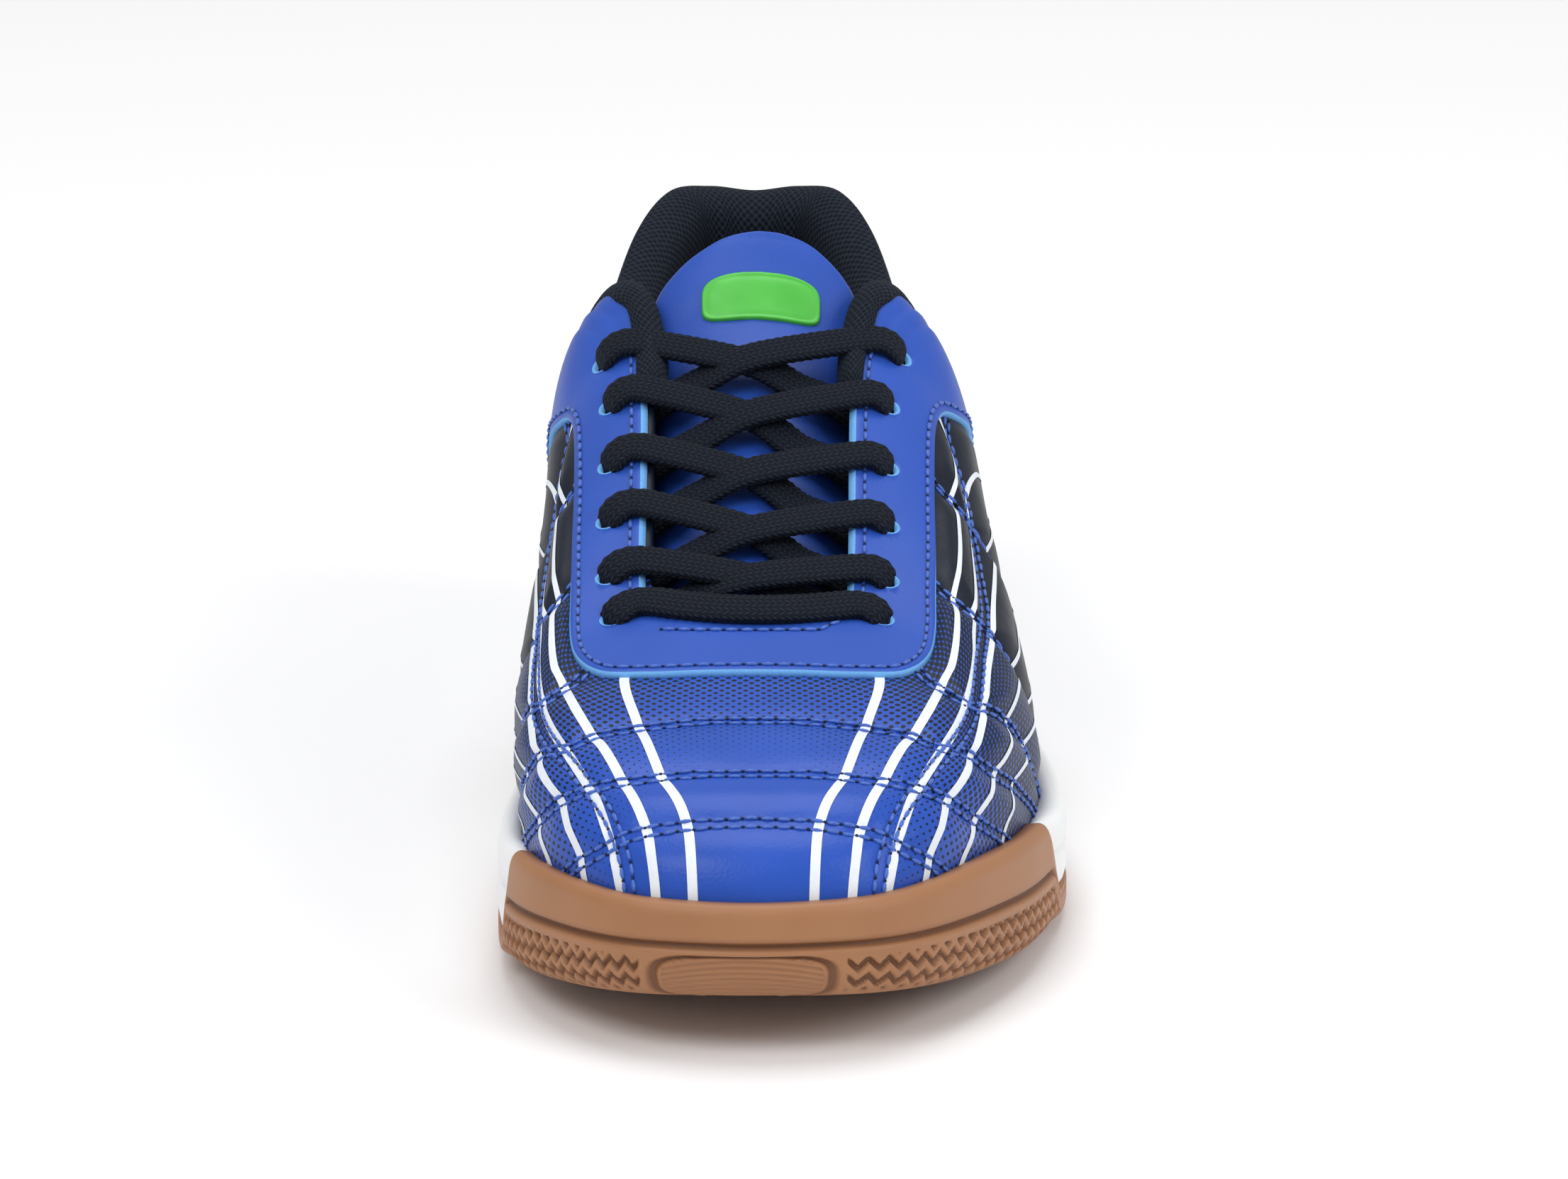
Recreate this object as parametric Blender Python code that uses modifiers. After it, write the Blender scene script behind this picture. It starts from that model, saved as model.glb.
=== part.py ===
"""Indoor court shoe for the left foot, standing empty on its gum sole.

Millimetres in the tables, metres in the scene. +Z is up, the toe points to -Y, and the outer side of the
foot is +X. The origin is on the floor, under the middle of the shoe.
"""

import math

import bmesh
import bpy
import numpy as np
from mathutils import Matrix, Vector

MM = 0.001

# Driving dimensions, in millimetres.
LENGTH = 292.0
BALL_WIDTH = 107.0
INSTEP_HEIGHT = 97.7
HEEL_HEIGHT = 89.0
TOE_SPRING = 12.3
ARCH_RELIEF = 2.5
HEEL_BEVEL = 3.0
UPPER_WALL = 2.0
OVERLAY_WALL = 1.2
GAP = 0.3
MERGE = 0.00002
NUDGE = 0.25
RING_NUDGE = 0.05
RIB_POINTS = 41
SHARP_ANGLE = 0.7

# Half of the shoe from toe to heel, one row for each rib. Stations are hundredths of LENGTH from the toe,
# widths are hundredths of BALL_WIDTH from the foot's axis, rim heights are millimetres above the floor.
SOLE_COLUMNS = ("station", "medial", "lateral", "rim")
SOLE_ROWS = (
    (0.0, 0.0, 0.0, 29.4),
    (0.6, 12.0, 13.0, 29.4),
    (2.2, 22.4, 23.6, 29.3),
    (5.6, 31.4, 32.8, 29.0),
    (11.4, 39.9, 41.8, 28.0),
    (18.6, 43.6, 49.4, 25.8),
    (28.1, 44.2, 54.6, 22.6),
    (35.6, 43.0, 55.4, 21.2),
    (43.8, 40.4, 53.4, 20.8),
    (52.1, 38.0, 49.2, 21.2),
    (59.6, 36.5, 45.0, 22.0),
    (66.4, 35.6, 41.6, 22.8),
    (74.7, 34.6, 38.0, 23.8),
    (82.9, 33.0, 34.8, 24.6),
    (90.1, 28.8, 29.3, 25.3),
    (95.5, 20.6, 20.7, 25.8),
    (98.8, 10.1, 10.1, 26.1),
    (100.0, 0.0, 0.0, 26.2),
)

# The upper's opening and the pull of each rib, on the same ribs. Edge heights are hundredths of
# INSTEP_HEIGHT along the throat and of HEEL_HEIGHT along the collar. rise and flare lead a rib out of the
# sole, crown, pitch (degrees below level) and fan (degrees round from the toe) lead it from the opening.
UPPER_COLUMNS = (
    "station", "half", "height", "rise", "flare_medial", "flare_lateral", "crown", "pitch", "fan"
)
UPPER_ROWS = (
    (30.8, 0.0, 59.2, 30.0, 3.0, 3.0, 46.0, 15.0, 0.0),
    (30.8, 5.0, 59.2, 30.0, 3.0, 3.0, 45.0, 15.0, 14.0),
    (30.8, 10.0, 59.1, 30.0, 3.0, 2.5, 42.0, 15.0, 30.0),
    (31.2, 14.6, 58.9, 30.0, 2.0, 2.0, 37.0, 15.0, 48.0),
    (33.0, 17.4, 60.3, 31.0, 1.5, 1.0, 31.0, 16.0, 72.0),
    (37.2, 17.8, 66.1, 32.0, 2.5, 0.5, 28.0, 16.0, 86.0),
    (42.0, 17.8, 72.7, 33.0, 3.5, 0.0, 25.0, 16.0, 88.0),
    (46.8, 17.8, 79.5, 35.0, 5.0, -0.5, 23.0, 15.0, 90.0),
    (51.6, 18.0, 86.4, 38.0, 6.5, 0.0, 22.0, 13.0, 92.0),
    (56.4, 19.0, 93.1, 40.0, 8.0, 2.0, 20.0, 11.0, 95.0),
    (61.6, 23.0, 100.0, 40.0, 9.0, 5.0, 17.0, 18.0, 98.0),
    (66.6, 27.2, 96.5, 36.0, 8.0, 6.0, 17.0, 45.0, 95.0),
    (73.6, 28.8, 87.3, 32.0, 7.0, 6.0, 18.0, 65.0, 92.0),
    (82.6, 26.8, 88.3, 30.0, 5.0, 5.0, 20.0, 74.0, 100.0),
    (89.8, 22.6, 96.4, 28.0, 4.0, 4.0, 22.0, 78.0, 118.0),
    (94.4, 16.6, 101.5, 28.0, 3.0, 3.0, 22.0, 78.0, 146.0),
    (96.3, 8.6, 101.2, 28.0, 3.0, 3.0, 22.0, 78.0, 167.0),
    (96.8, 0.0, 99.8, 28.0, 3.0, 3.0, 22.0, 78.0, 180.0),
)
HEEL_ROW = len(SOLE_ROWS) - 1
COLLAR_FIRST_ROW = 11
EYELET_ROWS = (4, 5, 6, 7, 8, 9)
RING_SIZE = 2 * HEEL_ROW
RING_STEP = 0.5
AXIS_X = (max(row[1] for row in SOLE_ROWS) - max(row[2] for row in SOLE_ROWS)) / 200.0 * BALL_WIDTH
PLAN = slice(0, 2)
RIM = 2
EDGE = slice(3, 6)
PULL = (6, 7, 8, 9)
FAN = slice(10, 12)

# Sole
FOOT_INSET = 5.0
SEAT_DEPTH = 9.0
FOOT_LIFT = 0.9
PLATE_COLUMNS = ("y", "wall")
PLATE_ROWS = ((-146.0, 4.5), (-100.0, 5.0), (-78.0, 8.0), (-48.0, 8.0), (-5.0, 4.5), (146.0, 4.5))
SPRING_START = -36.0
ARCH_FRONT = -4.0
ARCH_BACK = 62.0
HEEL_BEVEL_START = 118.0
BUMPER_END_MEDIAL = 4.9
BUMPER_END_LATERAL = 5.7
GROOVE_SHARE = 0.56
JOINT_STEP = 0.01
JOINT_GAP = 0.04
FLEX_GROOVES = (-104.0, -88.0, -72.0, -56.0, -40.0, -24.0, 76.0, 90.0, 104.0)
FLEX_WIDTH = 4.0
FLEX_DEPTH = 2.2
FLEX_REACH = 1.2 * BALL_WIDTH
INSOLE_WALL = 4.0
INSOLE_EDGE = ((1.0, 0.0), (0.0, 0.5), (0.0, INSOLE_WALL - 0.8), (1.2, INSOLE_WALL))

# Sections of the sole's side: inset from the outline, the line it is measured from and the lift above it.
BUMPER_EDGE = (
    (7.5, "tread", 0.0),
    (3.6, "tread", 0.8),
    (1.0, "tread", 2.8),
    (0.0, "tread", 5.6),
    (0.0, "groove", -0.7),
    (1.0, "groove", 0.0),
    (0.3, "groove", 0.7),
    (1.4, "rim", -2.2),
    (2.6, "rim", 0.0),
)
PLATE_EDGE = (
    (7.0, "tread", 0.0),
    (3.2, "tread", 0.7),
    (1.0, "tread", 2.0),
    (0.2, "top", -1.8),
    (0.0, "top", -1.6),
    (0.0, "top", -1.4),
    (0.0, "top", -1.0),
    (0.0, "top", -0.5),
    (0.3, "top", 0.0),
    (2.0, "top", 0.0),
    (4.0, "top", 0.0),
    (5.5, "top", 0.0),
)
FOAM_EDGE = ((5.5, "low", 0.0), (0.5, "low", 0.0), (0.0, "low", 2.0), (0.5, "middle", 0.0), (1.3, "rim", 0.0))

# The foam's core inside the bumper: inset, and share of its height.
CORE_ROWS = (
    (7.0, 0.0), (5.4, 0.0), (5.0, 0.1), (5.0, 0.3), (5.0, 0.5), (5.0, 0.7), (5.0, 0.9), (5.3, 1.0), (7.0, 1.0)
)
SEAT_INSET = 7.0

# Upper: distances are along a rib, from the opening.
EYELET_DISTANCE = 10.5
EYELET_RADIUS = 2.2
STAY_LINES = (0.0, 5.5, EYELET_DISTANCE, 15.5)
BAND_STEPS = 2
RIB_SHARES = (0.28, 0.54, 0.76, 0.91, 1.0)
BAND_COLUMNS = ("ring", "width")
BAND_ROWS = (
    (0.0, 21.0), (1.0, 21.5), (2.0, 23.0), (3.0, 24.0), (4.0, 19.5), (5.0, 17.5), (8.3, 17.5), (9.2, 31.0),
    (10.0, 34.0), (11.0, 32.0), (12.0, 28.0), (14.0, 31.0), (17.0, 34.0),
)

# Collar padding: its section as distance along the rib and lift off the upper's outer face, and its size
# along the ring.
PAD_SECTION = ((-1.2, 1.0), (-3.1, 0.2), (-4.6, -2.4), (-4.4, -5.6), (-2.0, -8.6), (4.0, -10.0),
               (13.0, -8.8), (22.0, -6.0), (27.0, -3.9), (14.0, -3.3), (0.8, -3.3), (-1.2, -2.8))
PAD_COLUMNS = ("ring", "size")
PAD_ROWS = ((8.5, 0.3), (9.0, 0.42), (10.0, 0.75), (11.0, 1.0), (12.0, 1.0), (17.0, 1.1))
PAD_BASE = -3.2

# Tongue: its ridge along Y, the half width there, and the drop to its sides.
TONGUE_COLUMNS = ("y", "ridge", "half")
TONGUE_ROWS = (
    (-62.0, 51.2, 19.0),
    (-45.0, 58.2, 20.5),
    (-20.0, 69.7, 21.0),
    (5.0, 80.7, 20.0),
    (17.0, 86.6, 19.0),
    (28.0, 94.6, 19.0),
    (34.5, 101.4, 17.5),
    (38.5, 106.0, 13.0),
    (40.5, 108.2, 6.0),
)
TONGUE_RADIUS = 32.0
TONGUE_WALL = 4.0
TONGUE_POINTS = 14
TONGUE_ACROSS = 7

# Lace: a flat oval cord.
LACE_WIDTH = 6.8
LACE_THICKNESS = 3.4
LACE_SIDES = 6
LACE_STOPS = (1.0, 6.5, 12.5)
LACE_START = (14.5, 2.0, -1.2)
LACE_RISE = (8.5, 4.0, 1.6)
LACE_ARCH = 0.6
BAR_POINTS = 5
CROSSING_DROP = 2.0
LACE_LIFT = 3.0 * GAP + OVERLAY_WALL + LACE_THICKNESS / 2.0
INSTEP_NORMAL = np.array((0.0, -0.41, 0.91))


def rib_values(row, side):
    """One rib: the sole's x, y and rim, the opening's x, y and z, its pulls, and its fan as x and y."""
    sole = dict(zip(SOLE_COLUMNS, SOLE_ROWS[row]))
    upper = dict(zip(UPPER_COLUMNS, UPPER_ROWS[row]))
    name = "medial" if side < 0 else "lateral"
    full_height = HEEL_HEIGHT if row >= COLLAR_FIRST_ROW else INSTEP_HEIGHT
    return (
        AXIS_X + side * sole[name] / 100.0 * BALL_WIDTH,
        (sole["station"] / 100.0 - 0.5) * LENGTH,
        sole["rim"],
        AXIS_X + side * upper["half"] / 100.0 * BALL_WIDTH,
        (upper["station"] / 100.0 - 0.5) * LENGTH,
        upper["height"] / 100.0 * full_height,
        upper["rise"],
        upper["flare_" + name],
        upper["crown"],
        upper["pitch"],
        side * math.sin(math.radians(upper["fan"])),
        -math.cos(math.radians(upper["fan"])),
    )


# The closed ring of ribs: toe, medial side, heel, lateral side.
RING = np.array([rib_values(row, -1) for row in range(HEEL_ROW + 1)]
                + [rib_values(row, 1) for row in range(HEEL_ROW - 1, 0, -1)])


def column(rows, names, name):
    """One named column of a table."""
    return np.array(rows)[:, names.index(name)]


def ring_at(ring):
    """The ribs' values at any ring position, on a smooth closed curve through the rows."""
    ring = np.asarray(ring, float)
    row = np.floor(ring).astype(int)
    t = (ring - row)[..., None]
    before, start, end, after = (RING[(row + step) % RING_SIZE] for step in (-1, 0, 1, 2))
    curve = 2.0 * before - 5.0 * start + 4.0 * end - after
    twist = 3.0 * (start - end) + after - before
    return start + 0.5 * t * (end - before + t * (curve + t * twist))


def fold(ring):
    """Ring position counted from the toe on either side."""
    return np.where(np.asarray(ring) > HEEL_ROW, RING_SIZE - np.asarray(ring), ring)


def outline_normal(ring):
    """The sole outline's outward direction in plan."""
    ring = np.asarray(ring)
    tangent = ring_at(ring + RING_NUDGE)[..., PLAN] - ring_at(ring - RING_NUDGE)[..., PLAN]
    tangent = tangent / np.linalg.norm(tangent, axis=-1, keepdims=True)
    return np.stack([-tangent[..., 1], tangent[..., 0]], axis=-1)


def sole_point(ring, inset, height):
    """A point inset from the sole's outline, at a height."""
    plan = ring_at(ring)[..., PLAN] - outline_normal(ring) * np.asarray(inset)[..., None]
    return np.concatenate([plan, np.broadcast_to(height, plan.shape[:-1])[..., None]], axis=-1)


def tread_height(y):
    """The outsole's underside: flat under heel and forefoot, with toe spring, arch and heel bevel."""
    y = np.asarray(y, float)
    spring = np.clip((SPRING_START - y) / (SPRING_START + LENGTH / 2.0), 0.0, None) ** 2 * TOE_SPRING
    bevel = np.clip((y - HEEL_BEVEL_START) / (LENGTH / 2.0 - HEEL_BEVEL_START), 0.0, None) ** 2 * HEEL_BEVEL
    along = np.clip((y - ARCH_FRONT) / (ARCH_BACK - ARCH_FRONT), 0.0, 1.0)
    return spring + bevel + ARCH_RELIEF * np.sin(np.pi * along) ** 2


def plate_wall(ring):
    """Thickness of the outsole's plate, which rises at the ball to cover the foot of the midsole."""
    table = (column(PLATE_ROWS, PLATE_COLUMNS, name) for name in PLATE_COLUMNS)
    return np.interp(ring_at(ring)[:, 1], *table)


def ribs(ring):
    """The outer face's ribs at ring positions, each as points from the opening down to the sole."""
    value = ring_at(ring)
    normal = outline_normal(ring)
    rise, flare, crown, pitch = (value[:, index:index + 1] for index in PULL)
    foot = sole_point(ring, np.full(len(value), FOOT_INSET), value[:, RIM] - SEAT_DEPTH + FOOT_LIFT)
    edge = value[:, EDGE]
    lead = value[:, FAN] / np.linalg.norm(value[:, FAN], axis=1, keepdims=True)
    low = foot + np.concatenate([normal * flare, rise], axis=1)
    slope = np.radians(pitch)
    high = edge + np.concatenate([lead * crown * np.cos(slope), -crown * np.sin(slope)], axis=1)
    t = np.linspace(0.0, 1.0, RIB_POINTS)[None, :, None]
    s = 1.0 - t
    foot, low, high, edge = (point[:, None, :] for point in (foot, low, high, edge))
    return s ** 3 * edge + 3.0 * s * s * t * high + 3.0 * s * t * t * low + t ** 3 * foot


def rib_lengths(curves):
    """Distance from the opening at each point of the ribs."""
    steps = np.linalg.norm(np.diff(curves, axis=1), axis=2)
    return np.concatenate([np.zeros((len(curves), 1)), np.cumsum(steps, axis=1)], axis=1)


def face_points(ring, distance):
    """Points of the upper's outer face. A distance below zero runs on straight past the opening."""
    curves = ribs(ring)
    lengths = rib_lengths(curves)
    points = np.empty(distance.shape + (3,))
    for index, (curve, length) in enumerate(zip(curves, lengths)):
        for axis in range(3):
            points[index, :, axis] = np.interp(distance[index], length, curve[:, axis])
        past = np.minimum(distance[index], 0.0)[:, None]
        points[index] += past * (curve[1] - curve[0]) / length[1]
    return points


def skin(ring, distance, lift=0.0):
    """Points of the upper's face moved out of it by lift, one row for each ring position."""
    ring = np.asarray(ring, float)
    distance = np.broadcast_to(np.asarray(distance, float), (len(ring), np.shape(distance)[-1]))
    points = face_points(ring, distance)
    around = face_points(ring + RING_NUDGE, distance) - face_points(ring - RING_NUDGE, distance)
    along = face_points(ring, distance + NUDGE) - face_points(ring, distance - NUDGE)
    normal = np.cross(around, along)
    normal = normal / np.linalg.norm(normal, axis=2, keepdims=True)
    return points + normal * np.asarray(lift, float)[..., None]


def upper_inset(ring, height):
    """How far inside the sole's outline the upper's outer face stands at a height near the sole."""
    curves = ribs(ring)
    found = np.empty(len(curves))
    for index, curve in enumerate(curves):
        low = curve[::-1][:len(curve) // 3]
        plan = [np.interp(height[index], low[:, 2], low[:, axis]) for axis in (0, 1)]
        offset = ring_at(ring[index])[PLAN] - plan
        found[index] = offset @ outline_normal(ring[index])
    return found


def add_patch(bm, points):
    """A grid laid through an array of points in millimetres."""
    rows, columns = points.shape[:2]
    made = bmesh.ops.create_grid(bm, x_segments=columns - 1, y_segments=rows - 1, size=1.0)["verts"]
    for vert in made:
        row = round((vert.co.y + 1.0) / 2.0 * (rows - 1))
        column = round((vert.co.x + 1.0) / 2.0 * (columns - 1))
        vert.co = points[row, column] * MM
    return made


def finish_part(name, bm, material):
    """Closes a mesh into a named object of the shoe."""
    bmesh.ops.remove_doubles(bm, verts=bm.verts, dist=MERGE)
    mesh = bpy.data.meshes.new(name)
    bm.to_mesh(mesh)
    bm.free()
    mesh.materials.append(material)
    mesh.shade_smooth()
    mesh.set_sharp_from_angle(angle=SHARP_ANGLE)
    part = bpy.data.objects.new(name, mesh)
    shoe.objects.link(part)
    return part


def add_material(name, colour, roughness):
    """A plain finish in the part's own colour."""
    material = bpy.data.materials.new(name)
    material.use_nodes = True
    shader = material.node_tree.nodes["Principled BSDF"]
    shader.inputs["Base Color"].default_value = colour + (1.0,)
    shader.inputs["Roughness"].default_value = roughness
    shader.inputs["Metallic"].default_value = 0.0
    return material


def rungs(ring):
    """Pairs of opposite places in a list of ring positions that starts at the toe."""
    half = len(ring) // 2
    return [(index, -index % len(ring)) for index in range(half + 1)]


def sole_rings(joints=(), step=RING_STEP):
    """Ring positions round the sole, the same on both sides, with a close pair at each joint."""
    half = set(np.arange(0.0, HEEL_ROW + step, step))
    half |= {joint + side for joint in joints for side in (-JOINT_STEP, JOINT_STEP)}
    half = sorted(half)
    return np.array(half + [RING_SIZE - place for place in reversed(half[1:-1])])


def add_tray(bm, ring, profile):
    """A closed body: rings of (inset, height) from underneath to inside, with a fill across each end."""
    loops = [sole_point(ring, inset, height) for inset, height in profile]
    wall = np.stack(loops)
    add_patch(bm, np.concatenate([wall, wall[:, :1]], axis=1))
    for loop in (loops[0], loops[-1]):
        add_patch(bm, np.stack([loop[list(pair)] for pair in rungs(ring)]))
    bmesh.ops.remove_doubles(bm, verts=bm.verts, dist=MERGE)
    bmesh.ops.dissolve_degenerate(bm, edges=bm.edges, dist=MERGE)
    bmesh.ops.recalc_face_normals(bm, faces=bm.faces)


def in_bumper(ring, shift=0.0):
    """Whether a place lies under the gum bumper, which ends further back on the lateral side."""
    limit = np.where(ring <= HEEL_ROW, BUMPER_END_MEDIAL, BUMPER_END_LATERAL) + shift
    return fold(ring) < limit


def joined_profile(mask, front, rear):
    """One profile that is front where mask holds and rear elsewhere."""
    joined = []
    for pair in zip(front, rear):
        joined.append(tuple(np.where(mask, ahead, behind) for ahead, behind in zip(*pair)))
    return joined


def tread_under(ring, inset):
    """Height of the outsole's underside below a place inset from the outline."""
    return tread_height(sole_point(ring, np.full(len(ring), inset), 0.0)[:, 1])


def make_flex_cutter(material):
    """Bars that cut the flex grooves across the tread."""
    bm = bmesh.new()
    for y in FLEX_GROOVES:
        height = float(tread_height(y)) + FLEX_DEPTH - FLEX_WIDTH
        place = Matrix.Translation(Vector((0.0, y, height)) * MM)
        size = Matrix.Diagonal((FLEX_REACH * MM, FLEX_WIDTH * MM, 2.0 * FLEX_WIDTH * MM, 1.0))
        bmesh.ops.create_cube(bm, size=1.0, matrix=place @ size)
    return as_cutter(finish_part("flex_grooves", bm, material))


def as_cutter(part):
    """Moves a helper form out of the shoe's own collection."""
    shoe.objects.unlink(part)
    cutters.objects.link(part)
    part.hide_render = True
    part.display_type = "WIRE"
    return part


def add_boolean(part, operation, other):
    """Cuts or joins one form with another."""
    change = part.modifiers.new(operation.lower(), "BOOLEAN")
    change.operation = operation
    change.object = other
    return part


def edge_profile(ring, rows, lines):
    """The rings of a section table, each as inset and height at every place."""
    profile = []
    for inset, line, lift in rows:
        base = tread_under(ring, inset) if line == "tread" else lines[line]
        profile.append((inset, base + lift))
    return profile


def beside_upper(ring, height):
    """A ring at a height, a fitting gap away from the upper."""
    return upper_inset(ring, height) - GAP, height


def make_outsole(material):
    """Gum outsole: a plate under the whole foot and a grooved bumper round the toe."""
    ring = sole_rings((BUMPER_END_MEDIAL, BUMPER_END_LATERAL))
    rim = ring_at(ring)[:, RIM]
    tread = tread_under(ring, 0.0)
    lines = {"top": tread + plate_wall(ring), "groove": tread + GROOVE_SHARE * (rim - tread), "rim": rim}
    front = edge_profile(ring, BUMPER_EDGE, lines)
    front += [beside_upper(ring, rim - GAP), beside_upper(ring, rim - SEAT_DEPTH / 2.0)]
    front.append((FOOT_INSET - GAP, lines["top"]))
    rear = edge_profile(ring, PLATE_EDGE, lines)
    bm = bmesh.new()
    add_tray(bm, ring, joined_profile(in_bumper(ring), front, rear))
    return add_boolean(finish_part("outsole", bm, material), "DIFFERENCE", make_flex_cutter(material))


def make_midsole(material):
    """Foam midsole: a tray round the upper, without its wall where the bumper takes its place."""
    ring = sole_rings((BUMPER_END_MEDIAL + JOINT_GAP, BUMPER_END_LATERAL + JOINT_GAP))
    rim = ring_at(ring)[:, RIM]
    seat = rim - SEAT_DEPTH
    low = tread_under(ring, 0.0) + plate_wall(ring) + GAP
    rear = edge_profile(ring, FOAM_EDGE, {"low": low, "middle": (low + rim) / 2.0, "rim": rim})
    rear += [beside_upper(ring, rim - GAP), beside_upper(ring, (rim + seat) / 2.0)]
    rear += [(FOOT_INSET - GAP, seat), (SEAT_INSET, seat)]
    front = [(inset, low + share * (seat - low)) for inset, share in CORE_ROWS]
    bm = bmesh.new()
    add_tray(bm, ring, joined_profile(in_bumper(ring, JOINT_GAP), front, rear))
    return finish_part("midsole", bm, material)


def make_insole(material):
    """Footbed lying inside the upper on the midsole's seat."""
    ring = sole_rings(step=1.0)
    base = ring_at(ring)[:, RIM] - SEAT_DEPTH + GAP
    side = FOOT_INSET + UPPER_WALL + 2.0 * GAP
    bm = bmesh.new()
    add_tray(bm, ring, [(np.full(ring.shape, side + inset), base + lift) for inset, lift in INSOLE_EDGE])
    return finish_part("insole", bm, material)


def add_shell(part, thickness, offset):
    """Gives an open surface its wall."""
    wall = part.modifiers.new("wall", "SOLIDIFY")
    wall.thickness = thickness * MM
    wall.offset = offset
    wall.use_even_offset = True
    return part


def eyelet_rings():
    """Ring positions of the eyelets, medial side first."""
    return list(EYELET_ROWS) + [RING_SIZE - row for row in EYELET_ROWS]


def punch_eyelets(bm, lift):
    """Opens a round hole at each eyelet's grid point."""
    places = skin(eyelet_rings(), [EYELET_DISTANCE], np.array([[lift]]))[:, 0] * MM
    corners = [min(bm.verts, key=lambda vert: (vert.co - Vector(place)).length) for place in places]
    holes = bmesh.ops.bevel(bm, geom=corners, offset=EYELET_RADIUS * MM, offset_type="OFFSET", segments=2,
                            profile=0.5, affect="VERTICES", material=-1)
    bmesh.ops.delete(bm, geom=holes["faces"], context="FACES")


def band_lines(ring):
    """Distances along each rib of the overlay's grid lines, from the opening to the overlay's outer edge."""
    band = np.interp(fold(ring), *(column(BAND_ROWS, BAND_COLUMNS, name) for name in BAND_COLUMNS))[:, None]
    lines = np.broadcast_to(np.array(STAY_LINES), (len(ring), len(STAY_LINES)))
    share = np.linspace(0.0, 1.0, BAND_STEPS + 1)[None, 1:]
    return np.concatenate([lines, STAY_LINES[-1] + (band - STAY_LINES[-1]) * share], axis=1)


def make_upper(material):
    """Vamp and quarters in one hollow wall, open at the throat, the collar and underneath."""
    ring = np.arange(0.0, RING_SIZE + RING_STEP, RING_STEP)
    lines = band_lines(ring)
    total = rib_lengths(ribs(ring))[:, -1:]
    share = np.array(RIB_SHARES)[None]
    lines = np.concatenate([lines, lines[:, -1:] + (total - lines[:, -1:]) * share], axis=1)
    bm = bmesh.new()
    add_patch(bm, skin(ring, lines, np.zeros(lines.shape)).transpose(1, 0, 2))
    bmesh.ops.remove_doubles(bm, verts=bm.verts, dist=MERGE)
    punch_eyelets(bm, 0.0)
    return add_shell(finish_part("upper", bm, material), UPPER_WALL, -1.0)


def make_eyestay(material):
    """Overlay round the throat that runs on along the collar, lying on the upper."""
    ring = np.arange(0.0, RING_SIZE + RING_STEP, RING_STEP)
    lines = band_lines(ring)
    bm = bmesh.new()
    add_patch(bm, skin(ring, lines, np.full(lines.shape, GAP)).transpose(1, 0, 2))
    bmesh.ops.remove_doubles(bm, verts=bm.verts, dist=MERGE)
    punch_eyelets(bm, GAP)
    return add_shell(finish_part("eyestay", bm, material), OVERLAY_WALL, 1.0)


def make_collar(material):
    """Padding along the topline, tapering out down the throat's upper edge."""
    first = PAD_ROWS[0][0]
    ring = np.arange(first, RING_SIZE - first + RING_STEP, RING_STEP)
    size = np.interp(fold(ring), *(column(PAD_ROWS, PAD_COLUMNS, name) for name in PAD_COLUMNS))[:, None]
    section = np.array(PAD_SECTION + PAD_SECTION[:1])
    lip = PAD_SECTION[0][0]
    distance = np.where(section[:, 0] < 0.0, lip + (section[:, 0] - lip) * size, section[:, 0] * size)
    lift = np.where(section[:, 1] < PAD_BASE, PAD_BASE + (section[:, 1] - PAD_BASE) * size, section[:, 1])
    bm = bmesh.new()
    add_patch(bm, skin(ring, distance, lift))
    bmesh.ops.remove_doubles(bm, verts=bm.verts, dist=MERGE)
    close_ends(bm)
    return finish_part("collar", bm, material)


def close_ends(bm):
    """Caps a tube's open ends and turns its faces outward."""
    bmesh.ops.holes_fill(bm, edges=[edge for edge in bm.edges if edge.is_boundary], sides=0)
    bmesh.ops.recalc_face_normals(bm, faces=bm.faces)


def smooth_rows(rows, count):
    """Points on a smooth open curve through a table's rows."""
    rows = np.array(rows)
    ends = np.concatenate([[2.0 * rows[0] - rows[1]], rows, [2.0 * rows[-1] - rows[-2]]])
    place = np.linspace(0.0, len(rows) - 1.0, count)
    row = np.minimum(place.astype(int), len(rows) - 2)
    t = (place - row)[:, None]
    before, start, end, after = (ends[row + step] for step in (0, 1, 2, 3))
    curve = 2.0 * before - 5.0 * start + 4.0 * end - after
    twist = 3.0 * (start - end) + after - before
    return start + 0.5 * t * (end - before + t * (curve + t * twist))


def make_tongue(material):
    """Padded tongue, arched across and rounded at its top."""
    rows = smooth_rows(TONGUE_ROWS, TONGUE_POINTS)
    across = np.linspace(-1.0, 1.0, TONGUE_ACROSS)
    y, ridge, half = (column(rows, TONGUE_COLUMNS, name)[:, None] for name in TONGUE_COLUMNS)
    x = half * across
    height = ridge - x * x / (2.0 * TONGUE_RADIUS)
    bm = bmesh.new()
    add_patch(bm, np.stack([AXIS_X + x, np.broadcast_to(y, x.shape), height], axis=-1))
    return add_shell(finish_part("tongue", bm, material), TONGUE_WALL, -1.0)


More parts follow.
